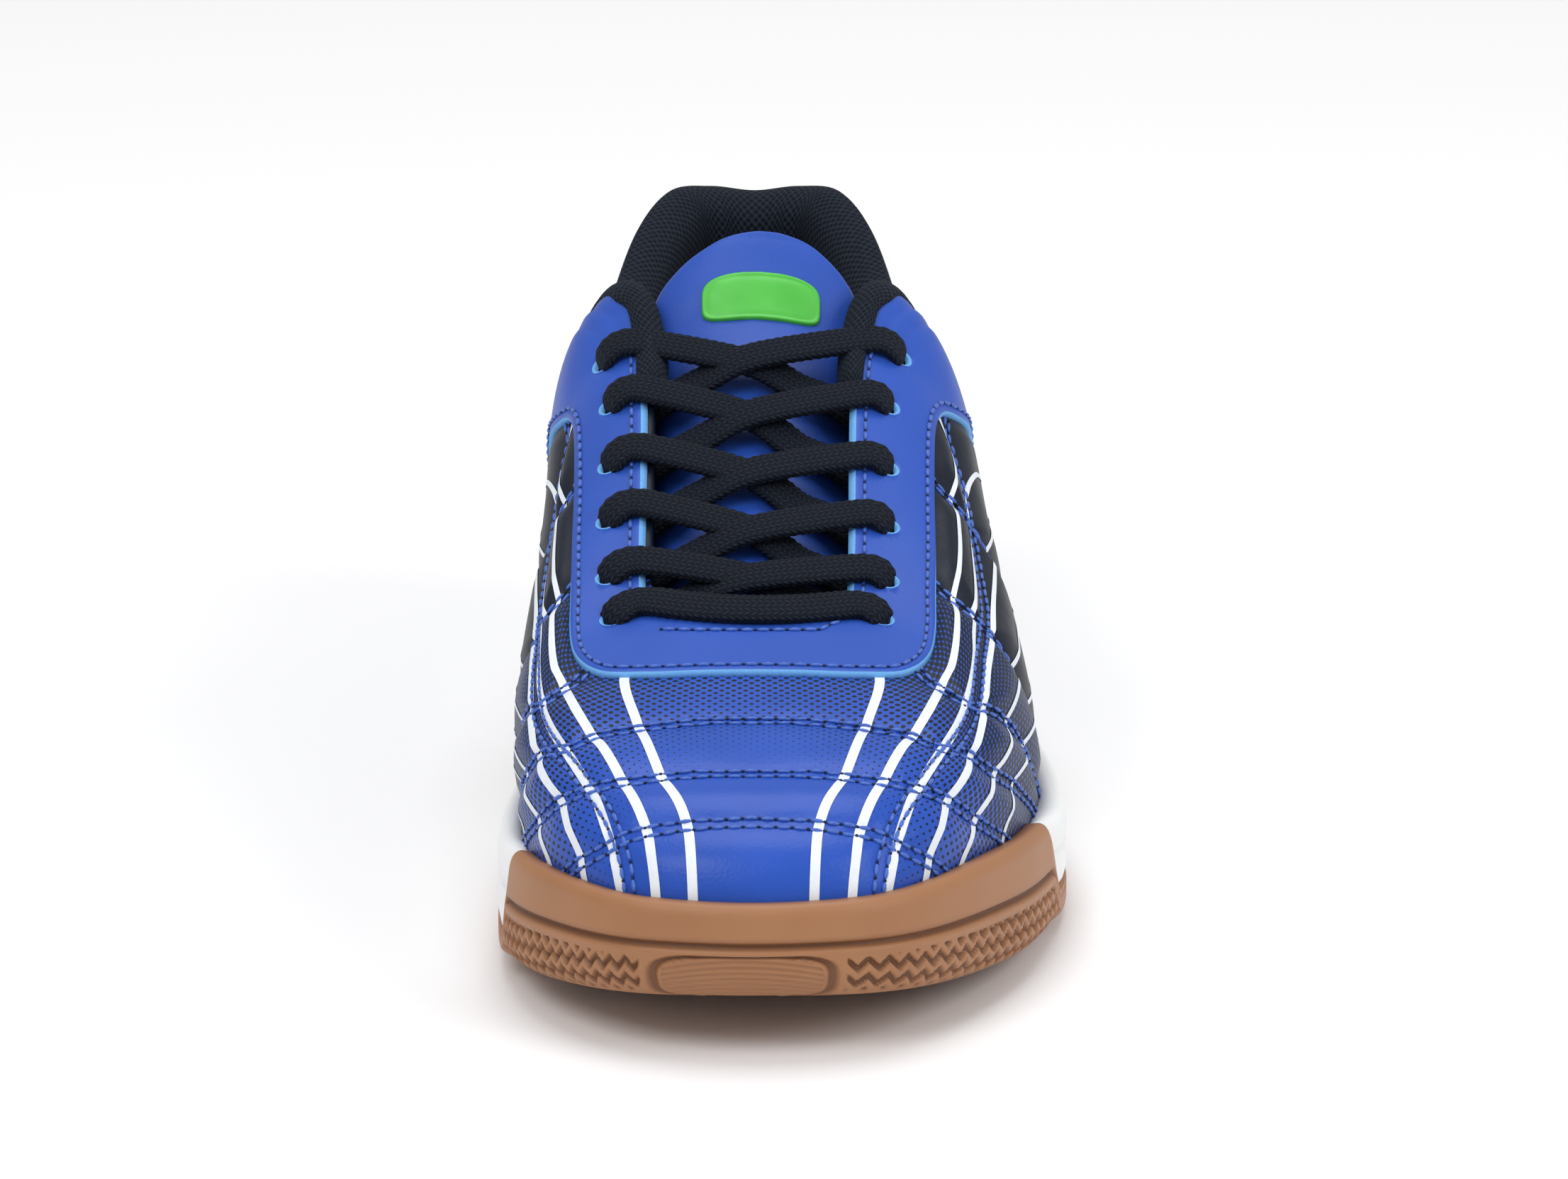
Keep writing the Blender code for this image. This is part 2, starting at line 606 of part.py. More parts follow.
def add_strand(bm, route):
    """A flat oval cord along a route over the instep."""
    path = smooth_rows(route, 2 * len(route) - 2)
    tangent = np.gradient(path, axis=0)
    tangent /= np.linalg.norm(tangent, axis=1, keepdims=True)
    side = np.cross(tangent, INSTEP_NORMAL)
    side /= np.linalg.norm(side, axis=1, keepdims=True)
    up = np.cross(side, tangent)
    angle = np.linspace(0.0, 2.0 * np.pi, LACE_SIDES + 1)[None, :, None]
    points = path[:, None] + side[:, None] * np.cos(angle) * LACE_WIDTH / 2.0
    points = points + up[:, None] * np.sin(angle) * LACE_THICKNESS / 2.0
    points[:, -1] = points[:, 0]
    add_patch(bm, points)
    bmesh.ops.remove_doubles(bm, verts=bm.verts, dist=MERGE)
    close_ends(bm)


def stay_point(ring, distance):
    """A point of the lace's middle where it lies on the eyestay."""
    return skin([ring], [distance], np.array([[LACE_LIFT]]))[0, 0]


def strand_route(row, side, drop):
    """From under the far edge of the row in front, over the middle, to an eyelet on one side."""
    ring = row if side < 0 else RING_SIZE - row
    near = ring_at(row)[EDGE]
    front = ring_at(row - 1)[EDGE]
    middle = (near + front) / 2.0
    start = (AXIS_X - side * LACE_START[0], front[1] + LACE_START[1], front[2] + LACE_START[2])
    rise = (AXIS_X - side * LACE_RISE[0], front[1] + LACE_RISE[1], front[2] + LACE_RISE[2] - drop / 2.0)
    centre = (AXIS_X, middle[1], middle[2] + LACE_LIFT + LACE_ARCH - drop)
    return [start, rise, centre] + [stay_point(ring, stop) for stop in LACE_STOPS]


def make_lace_bar(material):
    """The straight first run, lying across the front of the eyestay."""
    row = EYELET_ROWS[0]
    end = stay_point(row, LACE_STOPS[-1])
    centre = stay_point(0.0, LACE_STOPS[0])
    reach = AXIS_X - end[0]
    route = [(AXIS_X + share * reach, centre[1] + (end[1] - centre[1]) * share ** 2,
              centre[2] + (end[2] - centre[2]) * share ** 2) for share in np.linspace(-1.0, 1.0, BAR_POINTS)]
    bm = bmesh.new()
    add_strand(bm, route)
    return finish_part("lace_bar", bm, material)


def make_lace_crossing(row, material):
    """Two strands that cross between two rows of eyelets, joined where they meet."""
    over = bmesh.new()
    add_strand(over, strand_route(row, 1, 0.0))
    crossing = finish_part(f"lace_crossing_{row - EYELET_ROWS[0] + 1}", over, material)
    under = bmesh.new()
    add_strand(under, strand_route(row, -1, CROSSING_DROP))
    joined = as_cutter(finish_part(f"under_strand_{row - EYELET_ROWS[0] + 1}", under, material))
    return add_boolean(crossing, "UNION", joined)


for leftover in list(bpy.data.objects):
    bpy.data.objects.remove(leftover, do_unlink=True)
shoe = bpy.data.collections.new("indoor_court_shoe")
cutters = bpy.data.collections.new("shoe_cutters")
for collection in (shoe, cutters):
    bpy.context.scene.collection.children.link(collection)

gum = add_material("gum_rubber", (0.43, 0.19, 0.08), 0.6)
foam = add_material("white_foam", (0.82, 0.83, 0.84), 0.55)
footbed = add_material("footbed_cloth", (0.02, 0.025, 0.035), 0.9)
printed = add_material("printed_synthetic", (0.035, 0.08, 0.5), 0.4)
smooth_blue = add_material("blue_synthetic", (0.045, 0.1, 0.56), 0.45)
knit = add_material("collar_knit", (0.01, 0.014, 0.022), 0.9)
cord = add_material("lace_weave", (0.006, 0.009, 0.014), 0.85)

make_outsole(gum)
make_midsole(foam)
make_insole(footbed)
make_upper(printed)
make_eyestay(smooth_blue)
make_collar(knit)
make_tongue(smooth_blue)
make_lace_bar(cord)
for eyelet_row in EYELET_ROWS[1:]:
    make_lace_crossing(eyelet_row, cord)
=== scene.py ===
# Looks of an indoor court shoe for the left foot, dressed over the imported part.
# Sizes in the dictionaries are millimetres and the scene is in metres.
# The toe points to -Y and the outer side to +X.

import math

import bmesh
import bpy
import numpy as np
from mathutils import Matrix, Vector
from mathutils.bvhtree import BVHTree
from mathutils.kdtree import KDTree


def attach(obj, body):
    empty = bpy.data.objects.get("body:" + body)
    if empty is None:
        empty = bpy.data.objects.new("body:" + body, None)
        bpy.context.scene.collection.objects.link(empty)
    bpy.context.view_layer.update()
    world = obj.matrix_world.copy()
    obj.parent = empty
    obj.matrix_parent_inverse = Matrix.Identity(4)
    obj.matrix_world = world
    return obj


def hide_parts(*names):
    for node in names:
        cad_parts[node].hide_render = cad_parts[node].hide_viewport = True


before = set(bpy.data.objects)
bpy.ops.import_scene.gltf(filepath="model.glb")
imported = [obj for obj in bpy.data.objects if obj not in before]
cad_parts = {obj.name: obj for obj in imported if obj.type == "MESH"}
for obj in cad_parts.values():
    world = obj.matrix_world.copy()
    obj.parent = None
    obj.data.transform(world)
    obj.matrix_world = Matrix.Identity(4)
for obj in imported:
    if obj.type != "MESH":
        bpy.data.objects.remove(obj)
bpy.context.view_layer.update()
mm = 0.001
mergeReach = 0.00001
print("frame loaded:", len(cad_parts), "nodes")


# Materials: one function turns hex to linear colour, one adds a node with its settings and links
def hexColour(text):
    parts = [int(text[place:place + 2], 16) / 255.0 for place in (1, 3, 5)]
    linear = [part / 12.92 if part <= 0.04045 else ((part + 0.055) / 1.055) ** 2.4 for part in parts]
    return (*linear, 1.0)


def linkNode(tree, node, links):  # a node given in place of a socket stands for its first output in use
    for key, source in links.items():
        if isinstance(source, bpy.types.Node):
            source = next(socket for socket in source.outputs if socket.enabled)
        tree.links.new(source, node.inputs[key])


def addNode(tree, kind, settings=None, links=None):
    node = tree.nodes.new(kind)
    for key, value in (settings or {}).items():
        if isinstance(key, str) and key[0].islower():  # a property of the node, not one of its sockets
            setattr(node, key, value)
        else:
            node.inputs[key].default_value = value
    linkNode(tree, node, links or {})
    return node


def startMaterial(name, settings):
    material = bpy.data.materials.new(name)
    material.use_nodes = True
    tree = material.node_tree
    shader = tree.nodes["Principled BSDF"]
    for key, value in settings.items():
        shader.inputs[key].default_value = value
    return material, tree, shader


def cloudedMaterial(name, settings, look):  # two tones that drift into each other, with a grain if it has one
    material, tree, shader = startMaterial(name, settings)
    place = addNode(tree, "ShaderNodeTexCoord").outputs["Object"]
    cloud = addNode(tree, "ShaderNodeTexNoise", {
        "Scale": 1.0 / (look["cloudSize"] * mm), "Detail": look["cloudDetail"],
    }, {"Vector": place})
    first, second = (hexColour(tone) for tone in look["tones"])
    colour = addNode(tree, "ShaderNodeMix", {"data_type": "RGBA", 6: first, 7: second}, {0: cloud})
    if "grooveShade" in look:  # painted shade, darker in the grooves the mould pressed
        level = addNode(tree, "ShaderNodeAttribute", {"attribute_name": "level"}).outputs["Fac"]
        colour = addNode(tree, "ShaderNodeMix", {"data_type": "RGBA", 7: hexColour(look["grooveShade"])},
                         {0: level, 6: colour})
    linkNode(tree, shader, {"Base Color": colour})
    if "grain" in look:
        grain = addNode(tree, look["grain"], {"Scale": 1.0 / (look["grainSize"] * mm)}, {"Vector": place})
        bump = addNode(tree, "ShaderNodeBump", {"Strength": 1.0, "Distance": look["grainDepth"] * mm},
                       {"Height": grain})
        linkNode(tree, shader, {"Normal": bump})
    return material


def shadeByRelief(tree, shader, look, height):  # painted shade in the hollows and painted light on the ridges, bump to match
    colour = addNode(tree, "ShaderNodeMix", {
        "data_type": "RGBA", 6: hexColour(look["hollowShade"]), 7: hexColour(look["ridgeLight"]),
    }, {0: height})
    bump = addNode(tree, "ShaderNodeBump", {"Strength": look["strength"], "Distance": look["depth"] * mm},
                   {"Height": height})
    linkNode(tree, shader, {"Base Color": colour, "Normal": bump})


def slantedCells(tree, pitch, randomness):  # a lattice of dots set on its corner, on the flattened surface
    surface = addNode(tree, "ShaderNodeUVMap", {"uv_map": "surface"})
    lattice = addNode(tree, "ShaderNodeMapping", {
        "Rotation": (0.0, 0.0, math.radians(45.0)), "Scale": (1.0 / (pitch * mm),) * 3,
    }, {"Vector": surface})
    return addNode(tree, "ShaderNodeTexVoronoi", {
        "voronoi_dimensions": "2D", "Scale": 1.0, "Randomness": randomness,
    }, {"Vector": lattice})


# Camera at the photograph's angle. Rows and widths are pixels of its 2212 x 1663 frame
view = {
    "frameWidth": 2212.0, "middleRow": 831.5, "focalPixels": 15000.0, "sensorWidth": 36.0,
    "elevation": 16.0, "distance": 2000.0, "ball": (0.0, -62.0, 5.0), "ballRow": 1266.0,
}


def addCamera():
    angle = math.radians(view["elevation"])
    forward = Vector((0.0, math.cos(angle), -math.sin(angle)))
    upward = Vector((0.0, math.sin(angle), math.cos(angle)))
    raised = (view["ballRow"] - view["middleRow"]) / view["focalPixels"] * view["distance"]
    camera = bpy.data.objects.new("camera", bpy.data.cameras.new("camera"))
    camera.data.sensor_fit = "HORIZONTAL"
    camera.data.sensor_width = view["sensorWidth"]
    camera.data.lens = view["focalPixels"] * view["sensorWidth"] / view["frameWidth"]
    camera.location = (Vector(view["ball"]) - forward * view["distance"] + upward * raised) * mm
    camera.rotation_euler = (math.radians(90.0 - view["elevation"]), 0.0, 0.0)
    bpy.context.scene.collection.objects.link(camera)
    bpy.context.scene.camera = camera


# Pale floor and soft boxes
studio = {
    "floorSize": 6.0, "floorColour": "#FAFAFB", "skyColour": "#FFFFFF", "skyStrength": 0.5,
    "aim": (0.0, 0.0, 0.05),  # metres
    "boxes": (  # name, place in metres, width in metres, watts
        ("keyBox", (-0.7, -1.1, 1.5), 0.9, 11.0),
        ("sideBox", (1.1, -0.6, 0.9), 0.8, 6.0),
        ("topBox", (0.0, 0.3, 1.7), 1.1, 12.0),
    ),
}


def addStudio():
    bm = bmesh.new()
    bmesh.ops.create_grid(bm, x_segments=1, y_segments=1, size=studio["floorSize"] / 2.0)
    mesh = bpy.data.meshes.new("floor")
    bm.to_mesh(mesh)
    bm.free()
    # painted board: matt and even, so the shoe's own shadow is all that shows
    paint = startMaterial("paintedBoard", {
        "Roughness": 0.9, "Base Color": hexColour(studio["floorColour"]),
    })[0]
    mesh.materials.append(paint)
    floor = bpy.data.objects.new("floor", mesh)
    bpy.context.scene.collection.objects.link(floor)
    sky = bpy.context.scene.world or bpy.data.worlds.new("sky")
    bpy.context.scene.world = sky
    sky.use_nodes = True
    background = sky.node_tree.nodes["Background"]
    background.inputs["Color"].default_value = hexColour(studio["skyColour"])
    background.inputs["Strength"].default_value = studio["skyStrength"]
    for name, place, width, power in studio["boxes"]:
        lamp = bpy.data.lights.new(name, "AREA")
        lamp.size = width
        lamp.energy = power
        box = bpy.data.objects.new(name, lamp)
        box.location = place
        toAim = Vector(studio["aim"]) - Vector(place)
        box.rotation_euler = toAim.to_track_quat("-Z", "Y").to_euler()
        bpy.context.scene.collection.objects.link(box)
    bpy.context.scene.view_settings.view_transform = "Standard"


addCamera()
addStudio()
print("camera and studio ready")


# The shoe's form: ribs round the foot, each from the opening's edge down to the sole.
# Stations are hundredths of the length from the toe, widths hundredths of the ball width from the axis.
form = {
    "length": 292.0, "ballWidth": 107.0, "instepHeight": 97.7, "heelHeight": 89.0,
    "toeSpring": 12.3, "springStart": -36.0, "heelBevel": 3.0, "bevelStart": 118.0,
    "archRelief": 2.5, "archFront": -4.0, "archBack": 62.0,
    "footInset": 5.0, "seatDepth": 9.0, "footLift": 0.9,
    "ribPoints": 41, "collarRow": 11, "nudge": 0.25, "ringNudge": 0.05,
    "clearance": 0.05, "insideHeight": 45.0,
    "sole": (  # station, medial, lateral, rim height
        (0.0, 0.0, 0.0, 29.4), (0.6, 12.0, 13.0, 29.4), (2.2, 22.4, 23.6, 29.3), (5.6, 31.4, 32.8, 29.0),
        (11.4, 39.9, 41.8, 28.0), (18.6, 43.6, 49.4, 25.8), (28.1, 44.2, 54.6, 22.6),
        (35.6, 43.0, 55.4, 21.2), (43.8, 40.4, 53.4, 20.8), (52.1, 38.0, 49.2, 21.2),
        (59.6, 36.5, 45.0, 22.0), (66.4, 35.6, 41.6, 22.8), (74.7, 34.6, 38.0, 23.8),
        (82.9, 33.0, 34.8, 24.6), (90.1, 28.8, 29.3, 25.3), (95.5, 20.6, 20.7, 25.8),
        (98.8, 10.1, 10.1, 26.1), (100.0, 0.0, 0.0, 26.2),
    ),
    "opening": (  # station, half width, height, rise, flare medial, flare lateral, crown, pitch, fan
        (30.8, 0.0, 59.2, 30.0, 3.0, 3.0, 46.0, 15.0, 0.0),
        (30.8, 5.0, 59.2, 30.0, 3.0, 3.0, 45.0, 15.0, 14.0),
        (30.8, 10.0, 59.1, 30.0, 3.0, 2.5, 42.0, 15.0, 30.0),
        (31.2, 14.6, 58.9, 30.0, 2.0, 2.0, 37.0, 15.0, 48.0),
        (33.0, 17.4, 60.3, 31.0, 1.5, 1.0, 31.0, 16.0, 72.0),
        (37.2, 17.8, 66.1, 32.0, 2.5, 0.5, 28.0, 16.0, 86.0),
        (42.0, 17.8, 72.7, 33.0, 3.5, 0.0, 25.0, 16.0, 88.0),
        (46.8, 17.8, 79.5, 35.0, 5.0, -0.5, 23.0, 15.0, 90.0),
        (51.6, 18.0, 86.4, 38.0, 6.5, 0.0, 22.0, 13.0, 92.0),
        (56.4, 19.0, 93.1, 40.0, 8.0, 2.0, 20.0, 11.0, 95.0),
        (61.6, 23.0, 100.0, 40.0, 9.0, 5.0, 17.0, 18.0, 98.0),
        (66.6, 27.2, 96.5, 36.0, 8.0, 6.0, 17.0, 45.0, 95.0),
        (73.6, 28.8, 87.3, 32.0, 7.0, 6.0, 18.0, 65.0, 92.0),
        (82.6, 26.8, 88.3, 30.0, 5.0, 5.0, 20.0, 74.0, 100.0),
        (89.8, 22.6, 96.4, 28.0, 4.0, 4.0, 22.0, 78.0, 118.0),
        (94.4, 16.6, 101.5, 28.0, 3.0, 3.0, 22.0, 78.0, 146.0),
        (96.3, 8.6, 101.2, 28.0, 3.0, 3.0, 22.0, 78.0, 167.0),
        (96.8, 0.0, 99.8, 28.0, 3.0, 3.0, 22.0, 78.0, 180.0),
    ),
}
heelRing = len(form["sole"]) - 1
ringSize = 2 * heelRing
medialMost, lateralMost = (max(column) for column in list(zip(*form["sole"]))[1:3])
axisX = (medialMost - lateralMost) / 200.0 * form["ballWidth"]


def ribValues(row, side):
    station, medial, lateral, rim = form["sole"][row]
    edgeStation, half, height, rise, flareMedial, flareLateral, crown, pitch, fan = form["opening"][row]
    fullHeight = form["heelHeight"] if row >= form["collarRow"] else form["instepHeight"]
    return (
        axisX + side * (medial if side < 0 else lateral) / 100.0 * form["ballWidth"],
        (station / 100.0 - 0.5) * form["length"],
        rim,
        axisX + side * half / 100.0 * form["ballWidth"],
        (edgeStation / 100.0 - 0.5) * form["length"],
        height / 100.0 * fullHeight,
        rise, flareMedial if side < 0 else flareLateral, crown, pitch,
        side * math.sin(math.radians(fan)), -math.cos(math.radians(fan)),
    )


# toe, medial side, heel, lateral side
ribTable = np.array([ribValues(row, -1) for row in range(heelRing + 1)]
                    + [ribValues(row, 1) for row in range(heelRing - 1, 0, -1)])


def blendRows(before, start, end, after, t):
    curve = 2.0 * before - 5.0 * start + 4.0 * end - after
    twist = 3.0 * (start - end) + after - before
    return start + 0.5 * t * (end - before + t * (curve + t * twist))


def ringAt(ring):
    ring = np.asarray(ring, float)
    row = np.floor(ring).astype(int)
    rows = (ribTable[(row + step) % ringSize] for step in (-1, 0, 1, 2))
    return blendRows(*rows, (ring - row)[..., None])


def smoothRows(rows, count, closed=False):
    rows = np.array(rows, float)
    if closed:
        ends = np.concatenate([rows[-1:], rows, rows[:2]])
    else:
        ends = np.concatenate([[2.0 * rows[0] - rows[1]], rows, [2.0 * rows[-1] - rows[-2]]])
    last = len(ends) - 3
    place = np.linspace(0.0, last, count)
    row = np.minimum(place.astype(int), last - 1)
    return blendRows(*(ends[row + step] for step in range(4)), (place - row)[:, None])


def smoothStep(value):
    value = np.clip(value, 0.0, 1.0)
    return value * value * (3.0 - 2.0 * value)


def fold(ring):  # ring position counted from the toe on either side
    return np.abs((np.asarray(ring, float) + heelRing) % ringSize - heelRing)


def outlineNormal(ring):
    ring = np.asarray(ring, float)
    tangent = ringAt(ring + form["ringNudge"])[..., :2] - ringAt(ring - form["ringNudge"])[..., :2]
    tangent = tangent / np.linalg.norm(tangent, axis=-1, keepdims=True)
    return np.stack([-tangent[..., 1], tangent[..., 0]], axis=-1)


def solePoint(ring, inset, height):
    plan = ringAt(ring)[..., :2] - outlineNormal(ring) * np.asarray(inset, float)[..., None]
    return np.concatenate([plan, np.broadcast_to(height, plan.shape[:-1])[..., None]], axis=-1)


def treadHeight(y):
    y = np.asarray(y, float)
    spring = np.clip((form["springStart"] - y) / (form["springStart"] + form["length"] / 2.0), 0.0, None)
    bevel = np.clip((y - form["bevelStart"]) / (form["length"] / 2.0 - form["bevelStart"]), 0.0, None)
    along = np.clip((y - form["archFront"]) / (form["archBack"] - form["archFront"]), 0.0, 1.0)
    arch = np.sin(np.pi * along) ** 2
    return spring ** 2 * form["toeSpring"] + bevel ** 2 * form["heelBevel"] + arch * form["archRelief"]


def ribCurves(ring):
    value = ringAt(ring)
    rise, flare, crown, pitch = (value[:, index:index + 1] for index in (6, 7, 8, 9))
    foot = solePoint(ring, form["footInset"], value[:, 2] - form["seatDepth"] + form["footLift"])
    edge = value[:, 3:6]
    lead = value[:, 10:12] / np.linalg.norm(value[:, 10:12], axis=1, keepdims=True)
    low = foot + np.concatenate([outlineNormal(ring) * flare, rise], axis=1)
    slope = np.radians(pitch)
    high = edge + np.concatenate([lead * crown * np.cos(slope), -crown * np.sin(slope)], axis=1)
    t = np.linspace(0.0, 1.0, form["ribPoints"])[None, :, None]
    s = 1.0 - t
    foot, low, high, edge = (point[:, None, :] for point in (foot, low, high, edge))
    return s ** 3 * edge + 3.0 * s * s * t * high + 3.0 * s * t * t * low + t ** 3 * foot


def ribLengths(curves):
    steps = np.linalg.norm(np.diff(curves, axis=1), axis=2)
    return np.concatenate([np.zeros((len(curves), 1)), np.cumsum(steps, axis=1)], axis=1)


def facePoints(ring, distance):
    curves = ribCurves(ring)
    points = np.empty(distance.shape + (3,))
    for index, (curve, length) in enumerate(zip(curves, ribLengths(curves))):
        for axis in range(3):
            points[index, :, axis] = np.interp(distance[index], length, curve[:, axis])
        past = np.minimum(distance[index], 0.0)[:, None]  # above the opening a rib runs on straight
        points[index] += past * (curve[1] - curve[0]) / length[1]
    return points


def skinNormals(ring, distance):
    around = facePoints(ring + form["ringNudge"], distance) - facePoints(ring - form["ringNudge"], distance)
    along = facePoints(ring, distance + form["nudge"]) - facePoints(ring, distance - form["nudge"])
    normal = np.cross(around, along)
    return normal / np.linalg.norm(normal, axis=2, keepdims=True)


def skin(ring, distance, lift=0.0):  # points of the upper's face, moved out of it by lift
    ring = np.asarray(ring, float)
    distance = np.broadcast_to(np.asarray(distance, float), (len(ring), np.shape(distance)[-1]))
    lift = np.broadcast_to(np.asarray(lift, float), distance.shape)
    return facePoints(ring, distance) + skinNormals(ring, distance) * lift[..., None]


def upperInset(ring, height):  # how far inside the sole's outline a wall just clears the upper at a height
    found = np.empty(len(ring))
    outs, plans = outlineNormal(ring), ringAt(ring)[:, :2]
    for index, curve in enumerate(ribCurves(ring)):
        low = curve[::-1][:len(curve) // 3]
        plan = [np.interp(height[index], low[:, 2], low[:, axis]) for axis in (0, 1)]
        found[index] = (plans[index] - plan) @ outs[index]
    return found - form["clearance"]


# Meshes: grids from the operator are laid through rows of points
def addGrid(bm, points, surface=None, marks=None, level=None):
    rows, columns = points.shape[:2]
    uvLayer = bm.loops.layers.uv.get("surface") or bm.loops.layers.uv.new("surface")
    levelLayer = bm.verts.layers.float.get("level") or bm.verts.layers.float.new("level")
    made = bmesh.ops.create_grid(bm, x_segments=columns - 1, y_segments=rows - 1, size=1.0)["verts"]
    places = {}
    for vert in made:
        row = round((vert.co.y + 1.0) / 2.0 * (rows - 1))
        column = round((vert.co.x + 1.0) / 2.0 * (columns - 1))
        places[vert] = (row, column)
        vert.co = points[row, column] * mm
        if level is not None:
            vert[levelLayer] = level[row, column]
    for face in {face for vert in made for face in vert.link_faces}:
        corner = min(places[vert] for vert in face.verts)
        if marks is not None:
            face.material_index = int(marks[corner])
        if surface is not None:
            for loop in face.loops:
                loop[uvLayer].uv = surface[places[loop.vert]] * mm


def closeMesh(bm):
    bmesh.ops.remove_doubles(bm, verts=bm.verts, dist=mergeReach)
    bmesh.ops.dissolve_degenerate(bm, edges=bm.edges, dist=mergeReach)
    openEdges = [edge for edge in bm.edges if edge.is_boundary]
    if openEdges:
        bmesh.ops.holes_fill(bm, edges=openEdges, sides=0)
    bmesh.ops.recalc_face_normals(bm, faces=bm.faces)


def faceOut(bm):  # turns an open sheet so that its faces look away from the inside of the foot
    bm.normal_update()
    middle = Vector((axisX, 0.0, form["insideHeight"])) * mm
    facing = sum(face.normal.dot(face.calc_center_median() - middle) for face in bm.faces)
    if facing < 0.0:
        bmesh.ops.reverse_faces(bm, faces=bm.faces)


def closeSheet(bm):
    bmesh.ops.remove_doubles(bm, verts=bm.verts, dist=mergeReach)
    faceOut(bm)


def addPiece(name, bm, materials, replaced=()):
    mesh = bpy.data.meshes.new(name)
    bm.to_mesh(mesh)
    bm.free()
    for material in materials:
        mesh.materials.append(material)
    mesh.shade_smooth()
    piece = bpy.data.objects.new(name, mesh)
    bpy.context.scene.collection.objects.link(piece)
    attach(piece, "root")
    if replaced:
        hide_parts(*replaced)
    print("made", name, "with", len(mesh.polygons), "faces")
    return piece


def addWall(piece, thickness, outward, innerMaterial=0, rimMaterial=0):
    wall = piece.modifiers.new("wall", "SOLIDIFY")
    wall.thickness = thickness * mm
    wall.offset = 1.0 if outward else -1.0
    wall.use_even_offset = True
    wall.material_offset = innerMaterial
    wall.material_offset_rim = rimMaterial


def runLength(points):  # distance travelled along a line at each of its points
    return np.concatenate([[0.0], np.cumsum(np.linalg.norm(np.diff(points, axis=0), axis=1))])


def evenly(rows, step):  # the same line with rows an even step apart, measured on the first three columns
    lengths = runLength(rows[:, :3])
    count = max(int(round(lengths[-1] / step)), 2) + 1
    places = np.linspace(0.0, lengths[-1], count)
    return np.stack([np.interp(places, lengths, column) for column in rows.T], axis=1)


def clothGrid(along, girth):  # flat places of a cloth, from the lengths along its two edges
    return np.stack(np.meshgrid(along, girth, indexing="ij"), axis=-1)


def boxRound(count, widePower, deepPower):  # once round a circle that is filled out towards a box
    angle = np.linspace(0.0, 2.0 * np.pi, count + 1)
    turns = (np.cos(angle), widePower), (np.sin(angle), deepPower)
    return [np.sign(turn) * np.abs(turn) ** power for turn, power in turns]


def lineSides(points, normals):  # unit direction across a line that lies on a surface
    tangent = np.gradient(points, axis=0)
    across = np.cross(tangent, normals)
    return across / np.linalg.norm(across, axis=1, keepdims=True)


# Overlay round the throat and collar: where it starts and how far it reaches along the ribs
overlay = {
    "gap": 0.2, "wall": 0.9, "bevel": 0.35, "throatBevel": 0.95, "bevelDrop": 0.65,
    "smoothing": 0.3, "smoothingSteps": 9, "ringStep": 1.0 / 14.0, "rows": 37,
    "creases": (3.6, 8.0), "creaseDepth": 0.4, "creaseWidth": 1.3,
    "creaseFrom": 9.1, "creaseTo": 11.6, "creaseFades": (0.6, 1.2),
    "eyeletRadius": 1.8, "heelFrom": 11.7, "heelSink": 0.8,
    "eyelets": (  # ring from the toe and distance, medial then lateral
        (3.95, 9.6, 3.8, 7.6), (4.85, 9.4, 4.7, 7.2), (5.95, 9.4, 5.75, 7.2), (7.0, 9.2, 6.85, 7.2),
        (8.1, 8.8, 8.0, 7.2), (9.0, 9.6, 9.05, 8.7),
    ),
    "start": (  # ring, distance medial, distance lateral
        (0.0, 0.0, 0.0), (3.0, 0.8, 0.0), (4.2, 2.6, 0.3), (8.3, 2.4, 0.9), (9.2, 1.4, 1.2),
        (9.55, 0.9, 0.9), (9.75, 2.5, 2.5), (10.2, 3.4, 3.4), (10.7, 6.6, 6.6), (11.3, 7.2, 7.2),
        (12.0, 4.6, 4.6), (17.0, 3.0, 3.0),
    ),
    "width": (  # ring, distance
        (0.0, 21.0), (1.0, 21.5), (2.0, 23.0), (3.0, 24.0), (4.0, 19.5), (5.0, 17.5), (8.3, 17.5),
        (8.9, 19.5), (9.3, 24.0), (9.6, 30.5), (10.2, 34.0), (11.0, 32.0), (12.0, 28.0), (14.0, 31.0),
        (17.0, 34.0),
    ),
}


def bandWidth(ring):
    rings, widths = zip(*overlay["width"])
    offsets = np.linspace(-overlay["smoothing"], overlay["smoothing"], overlay["smoothingSteps"])
    return np.mean([np.interp(fold(ring + offset), rings, widths) for offset in offsets], axis=0)


def overlaySink(ring):  # towards the heel the overlay lies deeper
    return overlay["heelSink"] * smoothStep(fold(ring) - overlay["heelFrom"])


def overlayStart(ring):
    rings, medial, lateral = zip(*overlay["start"])
    sides = [np.interp(fold(ring), rings, side) for side in (medial, lateral)]
    return np.where(np.asarray(ring) % ringSize < heelRing, *sides)


def eyeletAt(row, side):
    medialRing, medialDistance, lateralRing, lateralDistance = overlay["eyelets"][row]
    return (medialRing, medialDistance) if side < 0 else (ringSize - lateralRing, lateralDistance)


eyelets = np.array([eyeletAt(row, side) for row in range(len(overlay["eyelets"])) for side in (-1, 1)])


